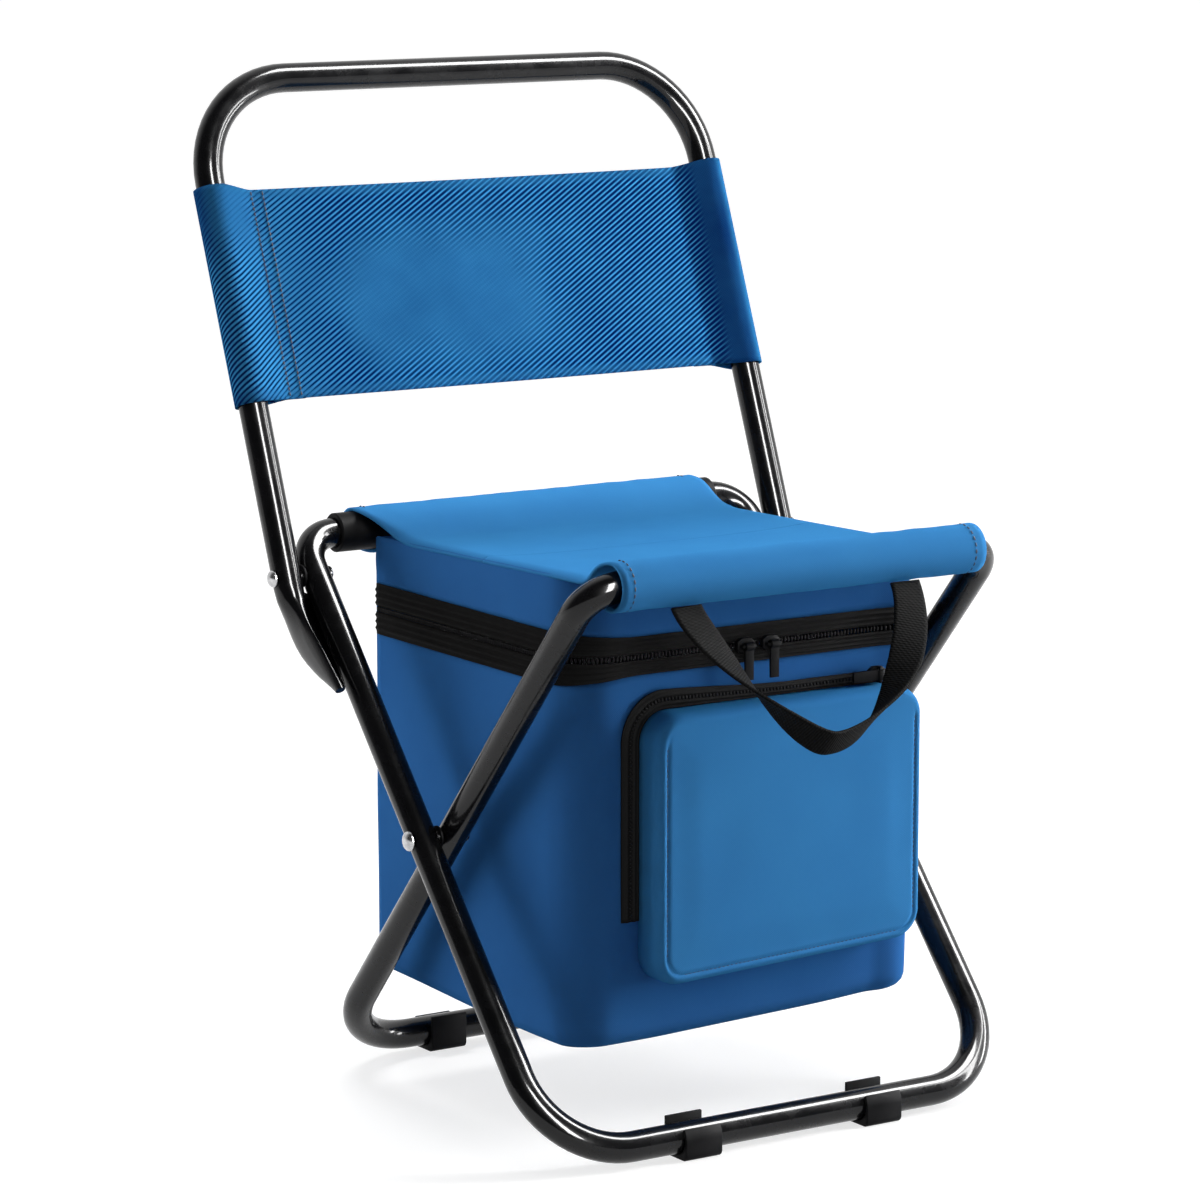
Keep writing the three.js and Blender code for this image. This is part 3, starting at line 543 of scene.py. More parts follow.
rivet_steel = mottled_finish(
    "rivet_steel", 260.0, (0.40, 0.40, 0.41), (0.62, 0.62, 0.63), rough=(500.0, 0.16, 0.32), Metallic=1.0)


def rivet_outline(head_radius):
    """Half of a rivet's section, from the middle of its clenched end to the top of its dome."""
    quarter = [math.pi / 2.0 * step / dome_steps for step in range(dome_steps + 1)]
    tail = [(-rivet_grip - tail_height * math.cos(a), tail_radius * math.sin(a)) for a in quarter]
    head = [(head_height * math.sin(a), head_radius * math.cos(a)) for a in quarter]
    return tail + [(-rivet_grip, shank), (0.0, shank)] + head


for pivot, head_radius, half, spot in (
        ("leg_pivot", leg_head_radius, outer_half, leg_pivot),
        ("back_pivot", back_head_radius, back_half, back_pivot)):
    for side, turn in (("left", math.pi), ("right", 0.0)):
        face = spot + Vector((math.cos(turn) * (half + tube_radius + rivet_gap), 0.0, 0.0))
        place = Matrix.Translation(face) @ Matrix.Rotation(turn, 4, "Z")
        node = f"{pivot}_rivet_{side}"
        rivet = settled(
            turned(rivet_outline(head_radius), False, place), node.replace("pivot_", ""), rivet_steel,
            "rivet_metal", node)
        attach(rivet, "outer_frame")
        washer_node = f"{pivot}_washer_{side}"
        washer = settled(
            eased_copy(washer_node, washer_ease), washer_node.replace("pivot_", ""), black_plastic,
            "washer_plastic", washer_node)
        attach(washer, "outer_frame")


# The sling is one blue cloth. Each end goes round a tube and is sewn down twice, and the pull of
# the tubes draws fine slanting ribs into it, strongest at the seams and along the edges.
sling_low = 0.1095
sling_height = 0.132
sling_seam = 0.156
sling_second_seam = 0.147
sling_flap = 0.143
sling_wrap = tube_radius + 0.0013
sling_thick = 0.0016
sling_reach = back_half - sling_seam
sling_touch = math.acos(sling_wrap / sling_reach)
sling_leg = math.sqrt(sling_reach ** 2 - sling_wrap ** 2)
sling_round = sling_wrap * (2.0 * math.pi - 2.0 * sling_touch)
sling_tuck = sling_seam - sling_flap
sling_half = sling_seam + 2.0 * sling_leg + sling_round + sling_tuck
sling_bow = 0.0015
tunnel_start, tunnel_swell = sling_seam - 0.004, 0.0022
seam_pucker, pucker_reach, pucker_turns = 0.00035, 0.009, 900.0
blue_weave = 0.0011
blue_sheen = (0.08, 0.55, 0.85, 1.0)
rib_pitch = 0.0027
rib_turn = math.radians(-31.0)
# rib_painted_light sets how strongly the ribs' painted highlight and shade show in the colour.
rib_painted_light, rib_dimming = 1.30, 0.23
slack_place = (0.30, 0.10, 0.0)
slack_scale = (1.0 / 0.115, 1.0 / 0.064, 0.0)
left_to_middle = (-0.150, -0.060)
# left_edge, right_seam and right_edge bound the painted shade on the tunnels.
left_tunnel, left_seam, left_edge = (-0.175, -0.150), (-0.170, -0.145), (-0.197, -0.187)
right_tunnel, right_seam, right_edge = (0.156, 0.172), (0.150, 0.166), (0.183, 0.190)
sling_hem, sling_upper = (0.057, 0.063), (0.010, 0.045)
sling_stitch_rise, sling_stitch_inset = 0.0004, 0.001

threads_group, threads_in, threads_out = surface_group(
    "threads", [("Vector", "Vector", None), ("Pitch", "Float", 0.0008)],
    [("Across", "Float"), ("Along", "Float"), ("Weave", "Float")])
threads_split = threads_group.nodes.new("ShaderNodeSeparateXYZ")
threads_group.links.new(threads_in.outputs["Vector"], threads_split.inputs["Vector"])
thread_waves = []
for way in ("X", "Y"):
    turns = sum_of(threads_group, "DIVIDE", threads_split.outputs[way], threads_in.outputs["Pitch"])
    wave = sum_of(threads_group, "SINE", sum_of(threads_group, "MULTIPLY", turns, 2.0 * math.pi))
    thread_waves.append(wave)
for label, wave in zip(("Across", "Along", "Weave"), (
        thread_waves[0], thread_waves[1], sum_of(threads_group, "MULTIPLY", *thread_waves))):
    threads_group.links.new(sum_of(threads_group, "MULTIPLY_ADD", wave, 0.5, 0.5), threads_out.inputs[label])


def threaded(tree, place, pitch, turn=0.0):
    """The threads of a cloth at a pitch in metres, turned on the cloth by an angle."""
    mapping = tree.nodes.new("ShaderNodeMapping")
    mapping.inputs["Rotation"].default_value = (0.0, 0.0, turn)
    node = tree.nodes.new("ShaderNodeGroup")
    node.node_tree = threads_group
    node.inputs["Pitch"].default_value = pitch
    tree.links.new(place, mapping.inputs["Vector"])
    tree.links.new(mapping.outputs["Vector"], node.inputs["Vector"])
    return node.outputs


def flat_place(tree):
    """Where a point was on its cloth before the cloth was rolled and sewn, in metres."""
    node = tree.nodes.new("ShaderNodeUVMap")
    node.uv_map = "flat"
    return node.outputs["UV"]


def cut_cloth(wide, long, across, along):
    """Cuts a flat cloth, and keeps each point's flat place for the weave."""
    cloth = bmesh.new()
    bmesh.ops.create_grid(cloth, x_segments=across, y_segments=along, size=0.5)
    bmesh.ops.scale(cloth, vec=(wide, long, 1.0), verts=cloth.verts)
    flat = cloth.loops.layers.uv.new("flat")
    for face in cloth.faces:
        for corner in face.loops:
            corner[flat].uv = corner.vert.co.xy
    return cloth


def lay_cloth(cloth, lie):
    """Moves each point of a flat cloth to where it lies on the stool."""
    for point in cloth.verts:
        point.co = lie(point.co.x, point.co.y)


def thicken(piece, thickness, offset):
    """Gives a cloth its thickness."""
    wall = piece.modifiers.new("thickness", "SOLIDIFY")
    wall.thickness = thickness
    wall.offset = offset
    wall.use_even_offset = True


def smooth_step(value, start, end):
    """0 before start, 1 after end and a soft rise between them."""
    share = min(1.0, max(0.0, (value - start) / (end - start)))
    return share * share * (3.0 - 2.0 * share)


def sling_section(along):
    """The sling's section seen from above: across the sheet, round the tube and back to the seam."""
    side, left = math.copysign(1.0, along), abs(along)
    if left <= sling_seam:
        return Vector((side * left, sling_bow * math.cos(0.5 * math.pi * left / sling_seam)))
    left -= sling_seam
    front = Vector((back_half - sling_wrap * math.cos(sling_touch), -sling_wrap * math.sin(sling_touch)))
    seam = Vector((sling_seam, 0.0))
    if left <= sling_leg:
        point = seam.lerp(front, left / sling_leg)
    elif left <= sling_leg + sling_round:
        angle = math.pi + sling_touch + (left - sling_leg) / sling_wrap
        point = Vector((back_half + sling_wrap * math.cos(angle), sling_wrap * math.sin(angle)))
    elif left <= 2.0 * sling_leg + sling_round:
        rear = Vector((front.x, -front.y))
        point = rear.lerp(seam + Vector((0.0, sling_thick)), (left - sling_leg - sling_round) / sling_leg)
    else:
        point = seam + Vector((2.0 * sling_leg + sling_round - left, sling_thick))
    return Vector((side * point.x, point.y))


def lie_on_tubes(along, up):
    """The sling's points, with tunnels that swell a little and edges that are drawn in between them."""
    flat = sling_section(along)
    height = sling_low + sling_height / 2.0 + up
    edge = up / (sling_height / 2.0)
    full = smooth_step(abs(flat.x), tunnel_start, back_half)
    height += tunnel_swell * edge * abs(edge) * full
    stray = 5.0 * noise.noise(Vector((along * 60.0, up * 40.0, 1.0)))
    pucker = seam_pucker * math.sin(up * pucker_turns + stray)
    pucker *= math.exp(-((abs(flat.x) - sling_seam) / pucker_reach) ** 2)
    return back_place @ Vector((flat.x, flat.y + pucker, height))


def sling_ribs(tree, place, flat, shade, height):
    """Adds ribs to the sling's colour and height, fainter where the cloth is slack, hemmed or turned away.
    The ribs' crests and grooves are painted into the colour as highlight and shade, and painted shade darkens
    the tunnels' turned-away sides.
    """
    split = tree.nodes.new("ShaderNodeSeparateXYZ")
    tree.links.new(flat, split.inputs["Vector"])
    across, up = split.outputs["X"], split.outputs["Y"]
    wave = threaded(tree, flat, rib_pitch, rib_turn)["Along"]
    ribs = sum_of(tree, "POWER", wave, between(tree, across, 0.35, 2.2, *left_to_middle))
    level = between(tree, across, 0.72, 0.36, *left_to_middle)
    slack = tree.nodes.new("ShaderNodeMapping")
    slack.inputs["Location"].default_value = slack_place
    slack.inputs["Scale"].default_value = slack_scale
    tree.links.new(flat, slack.inputs["Vector"])
    outward = vector_sum(tree, "LENGTH", slack.outputs["Vector"])
    away_from_slack = sum_of(tree, "ADD", outward, mottled(tree, place, 16.0, -0.20, 0.20))
    calm = sum_of(
        tree, "MULTIPLY", between(tree, up, 0.0, 1.0, *sling_upper),
        between(tree, across, 1.0, 0.0, *left_seam))
    strength = between(tree, away_from_slack, 0.05, 1.0, 0.35, 1.15)
    for share in (
            between(tree, across, 1.0, 0.0, *right_tunnel),
            between(tree, sum_of(tree, "ABSOLUTE", up), 1.0, 0.4, *sling_hem),
            between(tree, across, 1.6, 1.0, *left_tunnel),
            sum_of(tree, "MULTIPLY_ADD", calm, -0.9, 1.0)):
        strength = sum_of(tree, "MULTIPLY", strength, share)
    # The ribs go into the height as relief and into the colour as painted highlight and shade.
    ribbed = sum_of(tree, "MULTIPLY", sum_of(tree, "SUBTRACT", ribs, level), strength)
    # Painted shade on the tunnel sides that turn away from the light: the right tunnel's flank and the left
    # tunnel's outer side.
    painted_tunnel_shade = sum_of(
        tree, "MULTIPLY_ADD", between(tree, across, 0.0, 1.0, *right_seam),
        between(tree, across, 1.0, 0.0, *right_edge), between(tree, across, 1.0, 0.0, *left_edge))
    shade = sum_of(tree, "MULTIPLY_ADD", painted_tunnel_shade, -0.30, sum_of(tree, "SUBTRACT", shade, rib_dimming))
    return sum_of(tree, "MULTIPLY_ADD", ribbed, rib_painted_light, shade), sum_of(tree, "ADD", height, ribbed)


def blue_finish(name, deep, light, ribs=None):
    """Blue polyester: a fine plain weave with a soft sheen, and drawn ribs where they are asked for."""
    finish, tree, shader, place = new_finish(
        name, Roughness=0.62, Sheen_Weight=0.10, Sheen_Roughness=0.45, Sheen_Tint=blue_sheen,
        Specular_IOR_Level=0.0)
    flat = flat_place(tree)
    weave = threaded(tree, flat, blue_weave)["Weave"]
    shade = sum_of(tree, "MULTIPLY_ADD", weave, 0.20, mottled(tree, place, 20.0, 0.50, 0.62))
    height = sum_of(tree, "MULTIPLY", weave, 0.12)
    if ribs:
        shade, height = ribs(tree, place, flat, shade, height)
    tree.links.new(shaded(tree, shade, deep, light), shader.inputs["Base Color"])
    raised(tree, shader, height, 0.0006, 0.8)
    return finish


sling_cloth = blue_finish("ribbed_blue_cloth", (0.001, 0.014, 0.105), (0.055, 0.345, 0.720), sling_ribs)
sling_shape = cut_cloth(2.0 * sling_half, sling_height, 300, 44)
lay_cloth(sling_shape, lie_on_tubes)
sling = settled(sling_shape, "backrest_cloth", sling_cloth, "blue_cloth", "backrest_sling")
thicken(sling, sling_thick, 0.0)
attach(sling, "backrest")

thread_finish = mottled_finish(
    "sewing_thread", 900.0, (0.001, 0.003, 0.010), (0.004, 0.014, 0.045), Roughness=0.7)


def sew(row, spots, length=0.0030, gauge=0.00042):
    """Sews a row of stitches: each spot is a point, the way the seam runs and the way out of the cloth."""
    for point, ahead, out in spots:
        side = out.cross(ahead).normalized()
        turn = Matrix((ahead.normalized(), side, out.normalized())).transposed().to_4x4()
        size = Matrix.Diagonal((length / 2.0, gauge, gauge, 1.0))
        bmesh.ops.create_uvsphere(
            row, u_segments=6, v_segments=4, radius=1.0, matrix=Matrix.Translation(point) @ turn @ size)


def along_line(start, end, out, pitch=0.0032):
    """Spots for a straight row of stitches."""
    count = int((end - start).length / pitch)
    return [(start.lerp(end, (step + 0.5) / count), end - start, out) for step in range(count)]


sling_rows = bmesh.new()
back_turn = back_place.to_3x3()
sling_first_seam = sling_seam - sling_stitch_inset
for seam in (-sling_first_seam, -sling_second_seam, sling_second_seam, sling_first_seam):
    for face in (-1.0, 1.0) if seam < 0.0 else (1.0,):
        away = sling_thick / 2.0 if face < 0.0 else 1.5 * sling_thick
        low = Vector((seam, face * (away + sling_stitch_rise), sling_low + sling_stitch_inset))
        high = low + Vector((0.0, 0.0, sling_height - 2.0 * sling_stitch_inset))
        sew(sling_rows, along_line(back_place @ low, back_place @ high, back_turn @ Vector((0.0, face, 0.0))))
sling_sewing = settled(sling_rows, "backrest_sewing", thread_finish, "blue_cloth")
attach(sling_sewing, "backrest")


# The cooler bag hangs under the seat. A padded wall of blue cloth wraps its left side, its rounded
# front and its right side, and a bottom and a rear panel are sewn to it.
bag_half = 0.120
bag_front = -0.114617
bag_rear = 0.106883
bag_bottom = 0.062
bag_corner = 0.028
bag_cloth = 0.0020
rear_lap = 0.0012
corner_fullness = 0.32
zip_low = 0.2725
wall_rise = zip_low - bag_bottom
bottom_round = 0.011
bottom_tuck = 0.010
bag_side = bag_rear - rear_lap - bag_front - bag_corner
bag_turn = 0.5 * math.pi * bag_corner
bag_face = 2.0 * (bag_half - bag_corner)
bag_girth = 2.0 * bag_side + 2.0 * bag_turn + bag_face
bag_slant, slant_from, slant_to = 0.0038, 0.02, 0.20
wall_swell, side_swell, front_hollow = 0.0010, 0.0045, 0.0012
front_flat = 0.05
wall_ripple = 0.0007
wall_sag, middle_sag = 0.0012, 0.0016
bottom_gap, bottom_sag, bottom_bow = 0.0006, 0.0030, 0.24
rear_swell, rear_tuck, rear_tuck_rise = 0.0040, 0.006, 0.012
zip_lap_low, zip_lap_high = 0.0050, 0.0038


def bag_outline(along):
    """A place on the bag's outline, round its front from rear edge to rear edge, and the way out of it."""
    side, left = (1.0, along) if along >= 0.0 else (-1.0, -along)
    corner = Vector((bag_half - bag_corner, bag_front + bag_corner, 0.0))
    if left <= bag_face / 2.0:
        spot, out = Vector((left, bag_front, 0.0)), Vector((0.0, -1.0, 0.0))
    elif left <= bag_face / 2.0 + bag_turn:
        angle = (left - bag_face / 2.0) / bag_corner
        out = Vector((math.sin(angle), -math.cos(angle), 0.0))
        fuller = 1.0 + (corner_fullness * math.sin(2.0 * angle) ** 2 if side > 0.0 else 0.0)
        spot = corner + out * bag_corner * fuller
    else:
        out = Vector((1.0, 0.0, 0.0))
        spot = corner + Vector((bag_corner, left - bag_face / 2.0 - bag_turn, 0.0))
    return Vector((side * spot.x, spot.y, 0.0)), Vector((side * out.x, out.y, 0.0))


def fold_with_bag(piece, body="bag"):
    """Fastens a piece to the bag's body, or to the body given, and gives it a copy of its mesh."""
    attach(piece, body)
    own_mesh(piece)


def wall_profile(up):
    """How far in and how high a point of the wall lies, from its edge under the bag to the zip."""
    arc = 0.5 * math.pi * bottom_round
    if up < bottom_tuck:
        return -bottom_round - bottom_tuck + up, bag_bottom
    if up < bottom_tuck + arc:
        angle = (up - bottom_tuck) / bottom_round
        return bottom_round * (math.sin(angle) - 1.0), bag_bottom + bottom_round * (1.0 - math.cos(angle))
    return 0.0, bag_bottom + bottom_round + up - bottom_tuck - arc


wall_length = bottom_tuck + 0.5 * math.pi * bottom_round + wall_rise - bottom_round


def hang(x, y):
    """How much lower the bag hangs towards its left front corner, and higher (below 0) towards its right."""
    return -bag_slant * x / bag_half * (1.0 - smooth_step(y, bag_front + slant_from, bag_front + slant_to))


def round_front(along):
    """0 on the bag's left side, where the whole zip shows, and 1 round its front, where cloth laps it."""
    return smooth_step(along, -bag_face / 2.0 - bag_turn, -bag_face / 2.0 + 0.02)


def lie_on_wall(along, up):
    """The wall swells between the corners, hangs lowest in the middle and is pinched in along the zip."""
    spot, out = bag_outline(along)
    inward, height = wall_profile(up + wall_length / 2.0)
    share = min(1.0, max(0.0, (height - bag_bottom) / wall_rise))
    past = abs(along) - bag_face / 2.0 - bag_turn / 2.0
    flank = math.sin(math.pi * min(1.0, max(0.0, past / (bag_side + bag_turn / 2.0)))) if past > 0.0 else 0.0
    front = 1.0 - smooth_step(abs(along), front_flat, bag_face / 2.0 + bag_turn / 2.0)
    swell = math.sin(math.pi * share ** 0.85) * (side_swell * flank + wall_swell) - front_hollow * front
    ripple = wall_ripple * noise.noise(Vector((along * 22.0, height * 14.0, 3.0))) * math.sin(math.pi * share)
    sag = (1.0 - share) ** 2 * (wall_sag + middle_sag * max(front, flank) + hang(spot.x, spot.y))
    lap = zip_lap_low * round_front(along) * smooth_step(share, 0.5, 1.0)
    return spot + out * (inward + swell + ripple) + Vector((0.0, 0.0, height - sag + lap))


# The bag's wall, bottom, rear, skirt and lid top take a darker copy of the blue cloth, with the shade under
# the seat painted into it.
shaded_bag_blue = blue_finish("blue_cloth_with_painted_shade", (0.013, 0.060, 0.246), (0.042, 0.180, 0.478))
wall_shape = cut_cloth(bag_girth, wall_length, 168, 52)
lay_cloth(wall_shape, lie_on_wall)
wall = settled(wall_shape, "bag_wall", shaded_bag_blue, "blue_cloth", "bag_wrap_panel")
thicken(wall, bag_cloth, -1.0)
fold_with_bag(wall)


def lie_under(across, back):
    """The bottom sags a little between its seams."""
    x, y = across, back + (bag_front + bag_rear) / 2.0
    corner = bag_corner - bottom_round
    dx, dy = abs(x) - (bag_half - bag_corner), bag_front + bag_corner - y
    if dx > 0.0 and dy > 0.0:
        u, v = dx / corner, dy / corner
        dx, dy = u * math.sqrt(1.0 - v * v / 2.0) * corner, v * math.sqrt(1.0 - u * u / 2.0) * corner
        x = math.copysign(bag_half - bag_corner + dx, x)
        y = bag_front + bag_corner - dy
    from_middle = y - 0.5 * (bag_front + bag_rear)
    bow = math.cos(0.5 * math.pi * x / bag_half) * math.cos(math.pi * from_middle / bottom_bow)
    return Vector((x, y, bag_bottom - bottom_gap - bottom_sag * max(0.0, bow) - hang(x, y)))


bottom_wide = 2.0 * (bag_half - bottom_round)
bottom_long = bag_rear - bag_front - bottom_round
bottom_shape = cut_cloth(bottom_wide, bottom_long, 48, 44)
bmesh.ops.translate(bottom_shape, vec=(0.0, bottom_round / 2.0, 0.0), verts=bottom_shape.verts)
lay_cloth(bottom_shape, lie_under)
bmesh.ops.reverse_faces(bottom_shape, faces=bottom_shape.faces)
bottom = settled(bottom_shape, "bag_bottom", shaded_bag_blue, "blue_cloth", "bag_bottom_panel")
thicken(bottom, bag_cloth, -1.0)
fold_with_bag(bottom)

rear_top = 0.3315
rear_rise = rear_top - bag_bottom


def lie_behind(across, up):
    """The rear panel swells backwards a little and is tucked in at its foot."""
    share = max(0.0, up / rear_rise + 0.5)
    swell = rear_swell * math.cos(math.pi * across / (2.0 * bag_half)) * math.sin(math.pi * share ** 0.8)
    tuck = rear_tuck * max(0.0, 1.0 - share * rear_rise / rear_tuck_rise) ** 2
    return Vector((across, bag_rear + swell - tuck, bag_bottom + share * rear_rise))


rear_shape = cut_cloth(2.0 * bag_half, rear_rise, 48, 52)
lay_cloth(rear_shape, lie_behind)
bmesh.ops.reverse_faces(rear_shape, faces=rear_shape.faces)
rear_panel = settled(rear_shape, "bag_rear", shaded_bag_blue, "blue_cloth", "bag_rear_panel")
thicken(rear_panel, bag_cloth, -1.0)
fold_with_bag(rear_panel)


# Inside the cloth the bag is a tray of foam on a base board, faced with foil. The lid under the
# seat has foam and foil of its own, and blue cloth on top.
lining_inset = 0.0024
lining_thick = 0.0060
lining_low = 0.0700
lid_low = 0.3262
lid_high = 0.3312
plan_corner_steps = 8

foil_finish = mottled_finish(
    "foil_lining", 30.0, (0.45, 0.46, 0.48), (0.68, 0.69, 0.70), rough=(60.0, 0.25, 0.48),
    bump=(70.0, 0.0008, 0.5), Metallic=0.75)


def bag_plan(height):
    """The bag's plan as one face, with its front corners rounded."""
    plan = bmesh.new()
    half, front, rear = bag_half - lining_inset, bag_front + lining_inset, bag_rear - lining_inset
    outline = ((-half, front), (half, front), (half, rear), (-half, rear))
    corners = [plan.verts.new((x, y, height)) for x, y in outline]
    plan.faces.new(corners)
    bmesh.ops.bevel(
        plan, geom=corners[:2], offset=bag_corner - lining_inset, offset_type="OFFSET",
        segments=plan_corner_steps, profile=0.5, affect="VERTICES", material=-1, clamp_overlap=True)
    return plan


def raise_face(plan, rise):
    """Draws a plan up into a block, closed below, and gives the block's top."""
    made = bmesh.ops.extrude_face_region(plan, geom=list(plan.faces), use_keep_orig=True)["geom"]
    bmesh.ops.translate(
        plan, verts=[part for part in made if isinstance(part, bmesh.types.BMVert)], vec=(0.0, 0.0, rise))
    return [part for part in made if isinstance(part, bmesh.types.BMFace)]


tray = bag_plan(lining_low)
top = raise_face(tray, zip_low - lining_low)
bmesh.ops.inset_region(tray, faces=top, thickness=lining_thick, depth=0.0, use_even_offset=True)
made = bmesh.ops.extrude_face_region(tray, geom=top)["geom"]
bmesh.ops.translate(
    tray, verts=[part for part in made if isinstance(part, bmesh.types.BMVert)],
    vec=(0.0, 0.0, lining_low + lining_thick - zip_low))
bmesh.ops.delete(tray, geom=top, context="FACES_ONLY")
bmesh.ops.recalc_face_normals(tray, faces=tray.faces)
lining = settled(
    tray, "bag_lining", foil_finish, "foil",
    "foam_wrap", "foam_rear", "foam_bottom", "base_board", "bag_liner")
fold_with_bag(lining)
lid_block = bag_plan(lid_low)
for face in raise_face(lid_block, lid_high - lid_low):
    face.material_index = 1
bmesh.ops.recalc_face_normals(lid_block, faces=lid_block.faces)
lid_lining = settled(lid_block, "lid_lining", foil_finish, "foil", "lid_foam", "lid_liner")
# The lid's top takes the same blue with painted shade.
lid_lining.data.materials.append(shaded_bag_blue)
fold_with_bag(lid_lining)


# The lid's skirt hangs from the seat round the same three sides, down to the zip.
skirt_low = 0.3036
seat_slope = (rear_bar.z - front_bar.z) / (rear_bar.y - front_bar.y)
skirt_rise = 0.0335
skirt_gap = 0.0012
skirt_swell, skirt_ripple = 0.0012, 0.0006


def lie_on_skirt(along, up):
    """The skirt follows the slope of the seat above and the zip below."""
    spot, out = bag_outline(along)
    under_seat = front_bar.z + (spot.y - front_bar.y) * seat_slope - skirt_gap
    share = up / skirt_rise + 0.5
    swell = skirt_swell * math.sin(math.pi * share)
    swell += skirt_ripple * noise.noise(Vector((along * 30.0, share, 7.0)))
    low = skirt_low - zip_lap_high * round_front(along)
    return spot + out * swell + Vector((0.0, 0.0, low + share * (under_seat - low)))


skirt_shape = cut_cloth(bag_girth, skirt_rise, 168, 10)
lay_cloth(skirt_shape, lie_on_skirt)
skirt = settled(skirt_shape, "bag_skirt", shaded_bag_blue, "blue_cloth", "bag_lid_skirt")
thicken(skirt, bag_cloth, -1.0)
fold_with_bag(skirt)


# The main zip runs round the three sides: two black tapes, each with three woven welts along it,
# and a moulded coil between them. Round the front the bag's cloth laps over their outer edges.
tape_rise = 0.0138
tape_thick = 0.0011
tape_away = 0.0008
welt_rise, welt_reach, welt_middles = 0.0009, 0.085, (0.14, 0.43, 0.72)
coil_height = 0.2880
coil_half_gap = 0.0018
tooth_pitch = 0.0024
tooth_size = (0.0009, 0.0020, 0.0009)

zip_cloth, zip_tree, zip_shader, zip_place = new_finish(
    "black_zip_tape", Roughness=0.75, Specular_IOR_Level=0.05)
zip_weave = threaded(zip_tree, flat_place(zip_tree), 0.0012)
zip_clouds = mottled(zip_tree, zip_place, 80.0, 0.1, 0.6)
zip_shade = sum_of(zip_tree, "MULTIPLY_ADD", zip_weave["Along"], 0.4, zip_clouds)
zip_tree.links.new(
    shaded(zip_tree, zip_shade, (0.002, 0.002, 0.002), (0.006, 0.0058, 0.0058)),
    zip_shader.inputs["Base Color"])
raised(zip_tree, zip_shader, zip_weave["Weave"], 0.00012, 0.8)


def lie_on_tape(inner, way, lap):
    """Lays a tape flat on the bag from the edge beside the coil, with its welts, to its lapped outer edge."""
    def lie(along, up):
        spot, out = bag_outline(along)
        from_coil = up / tape_rise + 0.5
        welts = sum(math.exp(-((from_coil - middle) / welt_reach) ** 2) for middle in welt_middles)
        reach = way * from_coil * (tape_rise - lap * round_front(along))
        return spot + out * (tape_away + welt_rise * welts) + Vector((0.0, 0.0, inner + reach))
    return lie


for name, way, lap in (("lower", -1.0, zip_lap_low), ("upper", 1.0, zip_lap_high)):
    tape_shape = cut_cloth(bag_girth, tape_rise, 168, 36)
    lay_cloth(tape_shape, lie_on_tape(coil_height + way * coil_half_gap, way, lap))
    if way < 0.0:
        bmesh.ops.reverse_faces(tape_shape, faces=tape_shape.faces)
    tape = settled(tape_shape, f"zip_{name}_tape", zip_cloth, "zip_tape", f"main_zip_{name}_tape")
    thicken(tape, tape_thick, -1.0)
    fold_with_bag(tape)


def tooth(coil, point, ahead, out, gap, size):
    """One half-round turn of the coil, laid across the gap between the tapes."""
    turn = Matrix((ahead, gap, out)).transposed().to_4x4()
    bmesh.ops.create_uvsphere(
        coil, u_segments=6, v_segments=4, radius=1.0,
        matrix=Matrix.Translation(point) @ turn @ Matrix.Diagonal((*size, 1.0)))


main_coil = bmesh.new()
tooth_count = int(bag_girth / tooth_pitch)
upward = Vector((0.0, 0.0, 1.0))
for step in range(tooth_count):
    along = (step + 0.5) * tooth_pitch - tooth_count * tooth_pitch / 2.0
    spot, out = bag_outline(along)
    point = spot + out * tape_away + upward * coil_height
    tooth(main_coil, point, upward.cross(out) * -1.0, out, upward, tooth_size)
bmesh.ops.recalc_face_normals(main_coil, faces=main_coil.faces)
coil = settled(main_coil, "zip_coil", black_plastic, "zip_tape", "main_zip_coil")
fold_with_bag(coil)


# Three small black sliders run on the zips, each with a bail and a flat pull.
# The two on the main zip meet at the front, and the third closes the pocket.
slider_ease = 0.0004
for node, name, body in (
        ("main_zip_slider_left", "left_slider", "zip_slider_left"),
        ("main_zip_pull_left", "left_pull", "zip_pull_left"),
        ("main_zip_slider_right", "right_slider", "zip_slider_right"),
        ("main_zip_pull_right", "right_pull", "zip_pull_right"),
        ("pocket_zip_slider", "pocket_slider_block", "pocket_slider"),
        ("pocket_zip_pull", "pocket_pull_tab", "pocket_pull")):
    small = settled(eased_copy(node, slider_ease), name, black_plastic, "black_plastic", node)
    fold_with_bag(small, body)


# The front pocket is a padded, round-cornered panel with a soft rim, sewn down along a seam inside
# the rim, and a gusset joins it to the bag.
pocket_middle = Vector((0.019, 0.0, 0.1765))
pocket_half = Vector((0.095, 0.0, 0.079))
pocket_corner = 0.018
pocket_back = bag_front + 0.001
pocket_depth = 0.0225
pocket_crown = 0.0022
pocket_rim, pocket_rim_share = 0.0055, 0.62
pocket_seam = 0.0066
pocket_groove, groove_reach = 0.0011, 0.0011
pocket_ripple = 0.0005
pocket_crowding = 1.7
pocket_cloth = 0.0018
pocket_stitch, pocket_thread = 0.0020, 0.0003
side_stitches, lower_stitches = 50, 60


def pocket_point(across, up):
    """A point of the pocket's face, crowded towards its edge and brought in round the corners."""
    spread = [
        math.copysign(1.0 - (1.0 - abs(share)) ** pocket_crowding, share)
        for share in (2.0 * across, 2.0 * up)]
    x, z = spread[0] * pocket_half.x, spread[1] * pocket_half.z
    dx, dz = abs(x) - (pocket_half.x - pocket_corner), abs(z) - (pocket_half.z - pocket_corner)
    if dx > 0.0 and dz > 0.0:
        u, v = dx / pocket_corner, dz / pocket_corner
        x = math.copysign(pocket_half.x - pocket_corner * (1.0 - u * math.sqrt(1.0 - v * v / 2.0)), x)
        z = math.copysign(pocket_half.z - pocket_corner * (1.0 - v * math.sqrt(1.0 - u * u / 2.0)), z)
    return x, z


